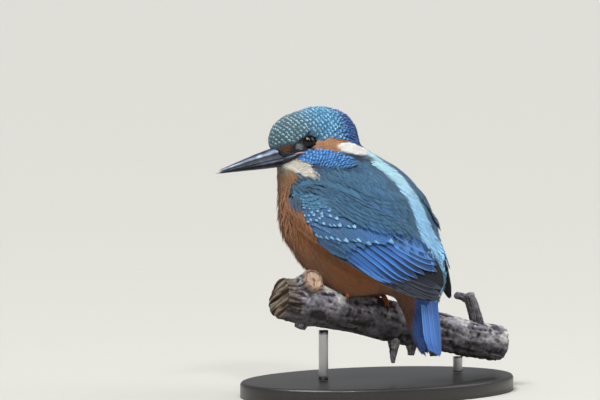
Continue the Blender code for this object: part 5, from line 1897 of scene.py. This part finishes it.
class KINGFISHER_OT_feet(PieceOperator, bpy.types.Operator):
    """The legs and their toes in scaled skin, and the claws in horn"""

    bl_idname = "kingfisher.feet"
    bl_label = "Feet"

    def execute(self, context):
        face = tints_of(context.scene.kingfisher_face)
        scaled = tinted("Scaled skin", (1600.0, 1.0), relief=(0.0002, 0.4), Roughness=0.5)
        horn = tinted("Claw horn", Roughness=0.35)
        for side, (place, hip) in FOOT_PLACES.items():
            centre, radius, _ = branch_point(place)
            ankle = centre + np.array([0.0, 0.0, radius * BARK_SWELL + TOE_RADIUS + 0.4])
            hock = np.array([hip, ankle[1] + 4.0, 8.5])
            shank = ankle + (hock - ankle) * evenly(40)[:, None]
            shapes = [scuted(shank, np.full(40, TARSUS_RADIUS * 0.97), (0, -1.0, 0), face)]
            for toe, (shift, sign, sweep) in TOE_LAYOUT.items():
                line = toe_line(place + shift * (1 if side == "left" else -1), ankle, sign, sweep)
                radii = TOE_RADIUS * through(evenly(7), TOE_TAPER, evenly(90)) * 0.97
                shapes.append(scuted(resampled(line, 90), radii, unit(line[3] - centre), face))
                way, inward = unit(line[-1] - line[-2]), unit((line[-1] + line[-3]) / 2 - line[-2])
                made = build(f"talon_{side}_{toe}", *claw(line[-1], way, inward, face))
                dress(made, horn, "claw", f"claw_{side}_{toe}")
            dress(build(f"foot_{side}", *joined(*shapes)), scaled, "foot", f"leg_{side}")
        return {"FINISHED"}


def unrolled(along, angle, stretch, across):
    """Places on a log's skin as seen by a noise that is drawn out along the wood."""
    parts = np.broadcast_arrays(stretch * along, across * np.cos(angle), across * np.sin(angle))
    return np.stack(parts, axis=-1)


def bark_height(points, along, angle):
    """Bark relief between -1 and 1: long plates and cracks drawn out along the wood, with knots and pits."""
    plates = 1 - np.abs(grain(unrolled(along, angle, 0.28, 9.0), 3.4, 4)) * 1.7
    pits = ramp(grain(points, 3.0, 6), 0.55, 0.4)
    return 0.55 * plates + 0.3 * grain(points, 1.5, 5) - 0.5 * pits


def bark_tints(points, height, up, colour):
    """Bark colours: dark cracks, worn grey ridges, and lichen where the wood faces up."""
    worn = ramp(height, 0.12, 0.8) * (0.35 + 0.65 * ramp(up, 0.0, 1.0))
    tint = over(colour["bark"], colour["bark_light"], worn * (0.6 + 0.4 * grain(points, 6.0, 7)))
    crust = ramp(grain(points, 5.0, 8) + 0.5 * grain(points, 1.6, 9), 0.35, 0.5) * ramp(up, 0.2, 0.9)
    return over(tint, colour["lichen"], crust * 0.8) * (0.6 + 0.5 * ramp(height, -0.3, 0.8))[..., None]


def branch_log(colour, relief):
    """The branch: a wavy tube with bark relief, calm under the feet, torn to fibres where the broken end
    faces up, and closed by the broken and the sawn face."""
    spin = circle(BARK_SIDES)
    along = np.linspace(BRANCH_STATIONS[0], BRANCH_STATIONS[-1], 300)
    centres, radii, ways = branch_points(along)
    foot_room = sum(ramp(-np.abs(along - place), -7.0, 3.0) for place, _ in FOOT_PLACES.values())
    calm = np.clip(1 - 0.75 * foot_room, 0.25, 1)[:, None]
    along = along[:, None]
    waves = 1 + 0.035 * np.sin(2 * spin + along * 0.11) + 0.03 * np.sin(3 * spin - along * 0.17 + 1)
    rings = round_rings(centres, radii, BARK_SIDES, waves=waves)
    outward = unit(rings - centres[:, None])
    height = bark_height(rings, along, spin)
    rings = rings + outward * (relief * (height - 0.35) * calm)[..., None]
    strands = unrolled(along, spin, 0.12, 11.0)
    fibre = 0.6 * grain(strands, 1.5, 11) + 0.5 * grain(strands, 0.7, 15)
    torn = ramp(-along + 2.2 * fibre, 34.0, 1.5) * ramp(outward[..., 2] + 0.5 * fibre, -0.35, 0.8)
    # Painted shade: the deeper grooves between the torn fibres are drawn in a much darker copy of the pith.
    wood = over(colour["torn"], colour["pith"] * 0.2, ramp(fibre, 0.0, 0.6))
    tint = over(bark_tints(rings, height, outward[..., 2], colour), wood, torn * 0.85)
    rings = rings - outward * (torn * (0.6 + 0.45 * fibre))[..., None]
    broken, broken_tint = broken_end(rings[0], ways[0], colour)
    cut, cut_tint = cut_end(rings[-1], ways[-1], colour)
    points, faces = tube(np.concatenate([broken, rings, cut]))
    tint = np.concatenate([broken_tint, tint, cut_tint])
    return points, faces, np.concatenate([tint.reshape(-1, 3), [tint[0, 0], tint[-1, 0]]])


def broken_end(rim, way, colour):
    """The broken face: the rim drawn in to its middle, with splinters that stand out along the wood as a
    noise of the place on the face."""
    middle = rim.mean(axis=0)
    share = np.linspace(0.03, 0.985, 34)[:, None, None]
    rings = middle + (rim - middle) * share
    level = unit(np.cross(way, UP))
    up = unit(np.cross(level, way) * 0.6 + level * 0.8)
    fibres = rings - up * (rings @ up)[..., None] * 0.86
    splinter = grain(fibres, 1.5, 12) + 0.5 * grain(fibres, 0.7, 13)
    slope = (rings - middle) @ up
    rings = rings - way * ((0.7 + 0.8 * splinter - 0.16 * slope) * (1 - share[..., 0] ** 6))[..., None]
    # Painted shade: the sunken places between splinters are drawn in a much darker copy of the pith.
    return rings, over(colour["torn"], colour["pith"] * 0.2, ramp(-splinter, -0.1, 0.9))


def cut_end(rim, way, colour):
    """The sawn face at the far end, with rings of growth."""
    middle = rim.mean(axis=0)
    share = np.concatenate([[0.995, 0.97], np.linspace(0.94, 0.02, 40)])[:, None]
    rings = middle + (rim - middle) * share[..., None] + way * np.minimum(0.35, (1 - share[..., None]) * 8)
    growth = 0.5 + 0.5 * np.sin(share * 62 + 0.8 * grain(rings, 5.0, 14))
    tint = over(colour["wood"], colour["pith"], 0.3 * growth)
    tint = over(tint, colour["pith"], ramp(-share, -0.12, 0.1))
    return rings, over(tint, colour["bark"], ramp(share, 0.9, 0.02))


def sawn_knot(line, radius, colour, sides=72):
    """The knot's sawn face: a shallow disc, its rings of growth as tint over the radius, cracked from the
    heart out."""
    way = unit(line[-1] - line[-2])
    share = np.concatenate([[0.004], np.linspace(0.06, 1, 24), [1.0]])[:, None]
    spin = circle(sides)
    first = unit(np.cross(way, UP))
    face = radius * 0.93 * share[..., None] * wheel(first, np.cross(way, first), sides)
    rings = line[-1] + way * 0.35 + face
    rings[-1] -= way * 0.9
    tint = over(colour["wood"], colour["pith"], 0.25 * (0.5 + 0.5 * np.sin(share * 34 + np.sin(spin * 2))))
    crack = ramp(np.cos(spin - 1.2), 0.985, 0.02) * ramp(-share, -0.8, 0.3)
    tint = over(tint, colour["pith"], np.clip(ramp(-share, -0.22, 0.2) * 0.8 + crack, 0, 1))
    points, faces = tube(rings[::-1])
    return points, faces, np.concatenate([tint[::-1].reshape(-1, 3), [colour["wood"], colour["pith"]]])


def shoot(name, colour, relief, count=60, sides=90):
    """A side shoot, from inside the branch: a tapered tube in bark along a line that bends with the square
    of the way along it. The knot's end closes with a callus lip."""
    place, lift, lean, length, root, end, bend = SHOOTS[name]
    centre, _, way = branch_point(place)
    back = unit(np.cross(way, UP))
    up = np.cross(back, way)
    lean = unit(way * lean[0] + back * lean[1] + up * lean[2])
    share = evenly(count)
    line = centre + up * lift + lean * share[:, None] * length + way * bend * share[:, None] ** 2
    rings = round_rings(line, root + (end - root) * share**0.7, sides, (0.3, 0.2, 1.0))
    out = unit(rings - line[:, None])
    height = bark_height(rings, share[:, None] * length, circle(sides))
    rings = rings + out * (min(relief, 0.14 * end + 0.2) * (height - 0.35))[..., None]
    tint = bark_tints(rings, height, out[..., 2], colour)
    if name == "knot":
        pale = colour["wood"] * 0.55
        rim, ahead = rings[-1] - line[-1], unit(line[-1] - line[-2])
        lip = np.stack([line[-1] + rim * size + ahead * rise for size, rise in CALLUS_LIP])
        callus = over(pale, colour["pith"], 0.4 + 0.3 * grain(lip, 1.2, 16))
        tint = np.concatenate([over(tint, pale, ramp(share, 0.86, 0.16)[:, None] * 0.7), callus])
        rings = np.concatenate([rings, lip])
    points, faces = tube(rings)
    ends = np.stack([tint[0].mean(axis=0), tint[-1].mean(axis=0)])
    bark = (points, faces, np.concatenate([tint.reshape(-1, 3), ends]))
    return [bark, sawn_knot(line, end * 0.84, colour)] if name == "knot" else [bark]


class KINGFISHER_OT_perch(PieceOperator, bpy.types.Operator):
    """The perch: a broken length of branch with rough bark, a sawn knot, spurs and a twig"""

    bl_idname = "kingfisher.perch"
    bl_label = "Perch"

    def execute(self, context):
        colour, relief = tints_of(context.scene.kingfisher_perch), context.scene.kingfisher_perch.relief / MM
        greys, bumps = ((0.45, 0.44, 0.45), (1.5, 1.5, 1.48)), (0.0012, 0.8)
        material = tinted("Bark", (420.0, 2.2), greys, bumps, Roughness=0.85, Specular_IOR_Level=0.25)
        shapes = [branch_log(colour, relief)]
        for name in SHOOTS:
            shapes += shoot(name, colour, relief)
        dress(build("branch", *joined(*shapes)), material, "bark", "perch")
        return {"FINISHED"}


def box_of(node):
    """The low and high corners of a solid's box in the bird's frame."""
    return (np.array(corner) / MM - TO_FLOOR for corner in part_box(node))


class KINGFISHER_OT_stand(PieceOperator, bpy.types.Operator):
    """The display stand's oval base and two rods"""

    bl_idname = "kingfisher.stand"
    bl_label = "Stand"

    def execute(self, context):
        colour = tints_of(context.scene.kingfisher_perch)
        wood, tree, shader = new_material("Ebonised wood", Roughness=0.42, Coat_Weight=0.2)
        place = wire(tree, "ShaderNodeTexCoord").outputs["Object"]
        drawn = wire(tree, "ShaderNodeMapping", {"Vector": place, "Scale": (40.0, 900.0, 900.0)}).outputs[0]
        noise = {"Vector": drawn, "Scale": 1.0, "Detail": 5.0}
        figure = wire(tree, "ShaderNodeTexNoise", noise).outputs["Fac"]
        tones = ((*colour["base"], 1.0), (*(colour["base"] * 2.2), 1.0))
        tree.links.new(blend_of(tree, figure, *tones), shader.inputs["Base Color"])
        bump(tree, shader, figure, 0.0001, 0.3)
        satin = {"Metallic": 1.0, "Roughness": 0.28, "Base_Color": (*colour["steel"], 1.0)}
        steel = new_material("Satin steel", **satin)[0]
        low, high = box_of("stand_base")
        middle = (low + high) / 2
        along = np.array([*unit(BRANCH_ALONG), 0.0])
        across = np.cross(UP, along)
        turn_at = np.linspace(0, math.pi / 2, 10)
        heights = np.append([0.0, 0.0], high[2] - low[2] - BASE_BEVEL + BASE_BEVEL * np.sin(turn_at))
        insets = np.append([0.6, 0.0], BASE_BEVEL * (1 - np.cos(turn_at)))[:, None]
        centres = np.column_stack([np.full((12, 2), middle[:2]), low[2] + heights])
        rings = centres[:, None] + wheel((BASE_LONG - insets) * along, (BASE_SHORT - insets) * across, 160)
        dress(build("stand_plinth", *tube(rings)), wood, "stand", "stand_base")
        for name in ("front", "back"):
            low, high = box_of(f"stand_rod_{name}")
            centre = (low + high) / 2
            line = np.column_stack([np.full((12, 2), centre[:2]), np.linspace(low[2], high[2], 12)])
            rod = tube(round_rings(line, np.full(12, (high[0] - low[0]) / 2), 48, (1.0, 0.0, 0.0)))
            dress(build(f"stand_pillar_{name}", *rod), steel, "steel", f"stand_rod_{name}")
        return {"FINISHED"}


class KINGFISHER_OT_stage(PieceOperator, bpy.types.Operator):
    """Pale floor, soft lights and the camera"""

    bl_idname = "kingfisher.stage"
    bl_label = "Stage"

    def execute(self, context):
        scene, stage = context.scene, context.scene.kingfisher_stage
        radii = np.array([[0.0001], [1.0], [40.0]]) / MM
        rings = wheel(radii * [1.0, 0.0, 0.0], radii * [0.0, 1.0, 0.0], 64)
        floor = build("floor", rings - TO_FLOOR, quads(3, 64)[:, ::-1])
        material = new_material("Floor", Roughness=0.75, Base_Color=(*stage.floor, 1.0))[0]
        floor.data.materials.append(material)
        a, e = math.radians(stage.azimuth), math.radians(stage.elevation)
        back = np.array([math.sin(a) * math.cos(e), -math.cos(a) * math.cos(e), math.sin(e)])
        right = np.array([math.cos(a), math.sin(a), 0.0])
        up = np.cross(back, right)
        aim = to_metres(right * VIEW_OFFSET[0] + up * VIEW_OFFSET[1])
        camera = bpy.data.cameras.new("camera")
        camera.sensor_width = 36.0
        camera.lens = camera.sensor_width * stage.distance / stage.view_width
        camera.clip_start, camera.clip_end = 0.05, 100.0
        scene.camera = placed("camera", camera, aim + back * stage.distance, right, up, back)
        for name, kind, power, spread, place in (
            ("key_light", "SUN", stage.key_power, 30.0, back * 0.55 - right * 0.4 + UP * 1.25),
            ("rear_light", "SUN", stage.rear_power, 40.0, right * 0.9 - back * 0.1 + UP * 0.7),
            ("fill_light", "AREA", stage.fill_power, 0.13, back * 0.6 + right * 0.18 + UP * 0.62),
        ):
            light = bpy.data.lights.new(name, kind)
            light.energy = power
            if kind == "SUN":
                light.angle = math.radians(spread)
            else:
                light.shape, light.size = "DISK", spread
            out = unit(place)
            side = unit(np.cross(UP, out) + [1e-6, 0, 0])
            placed(name, light, aim + place, side, np.cross(out, side), out)
        world = bpy.data.worlds.new("Studio")
        world.use_nodes = True
        background = world.node_tree.nodes["Background"].inputs
        background["Color"].default_value = (*stage.world, 1.0)
        background["Strength"].default_value = stage.world_strength
        scene.world = world
        scene.view_settings.view_transform = "Standard"
        return {"FINISHED"}


def placed(name, data, place, side, up, back):
    """A camera or lamp at a place, with its X, Y and Z axes along the given directions."""
    made = bpy.data.objects.new(name, data)
    bpy.context.scene.collection.objects.link(made)
    matrix = np.eye(4)
    matrix[:3] = np.column_stack([side, up, back, place])
    made.matrix_world = Matrix(matrix.tolist())
    return made


OPERATORS = (
    KINGFISHER_OT_skin,
    KINGFISHER_OT_head_coat,
    KINGFISHER_OT_body_coat,
    KINGFISHER_OT_wings,
    KINGFISHER_OT_tail,
    KINGFISHER_OT_bill,
    KINGFISHER_OT_eyes,
    KINGFISHER_OT_feet,
    KINGFISHER_OT_perch,
    KINGFISHER_OT_stand,
    KINGFISHER_OT_stage,
)


class KINGFISHER_PT_panel(bpy.types.Panel):
    """The kingfisher's pieces and settings"""

    bl_idname = "KINGFISHER_PT_panel"
    bl_label = "Kingfisher"
    bl_space_type = "VIEW_3D"
    bl_region_type = "UI"
    bl_category = "Kingfisher"

    def draw(self, context):
        for piece in OPERATORS:
            self.layout.operator(piece.bl_idname)
        for label, group in SETTINGS.items():
            box = self.layout.box()
            for name in group.__annotations__:
                box.prop(getattr(context.scene, label), name)


def register():
    for group in (*SETTINGS.values(), *OPERATORS, KINGFISHER_PT_panel):
        bpy.utils.register_class(group)
    for label, group in SETTINGS.items():
        setattr(bpy.types.Scene, label, bpy.props.PointerProperty(type=group))


def unregister():
    for label in SETTINGS:
        delattr(bpy.types.Scene, label)
    for group in (KINGFISHER_PT_panel, *reversed(OPERATORS), *reversed(SETTINGS.values())):
        bpy.utils.unregister_class(group)


def main():
    register()
    for piece in OPERATORS:
        getattr(bpy.ops.kingfisher, piece.bl_idname.split(".")[1])()


if __name__ == "__main__":
    main()
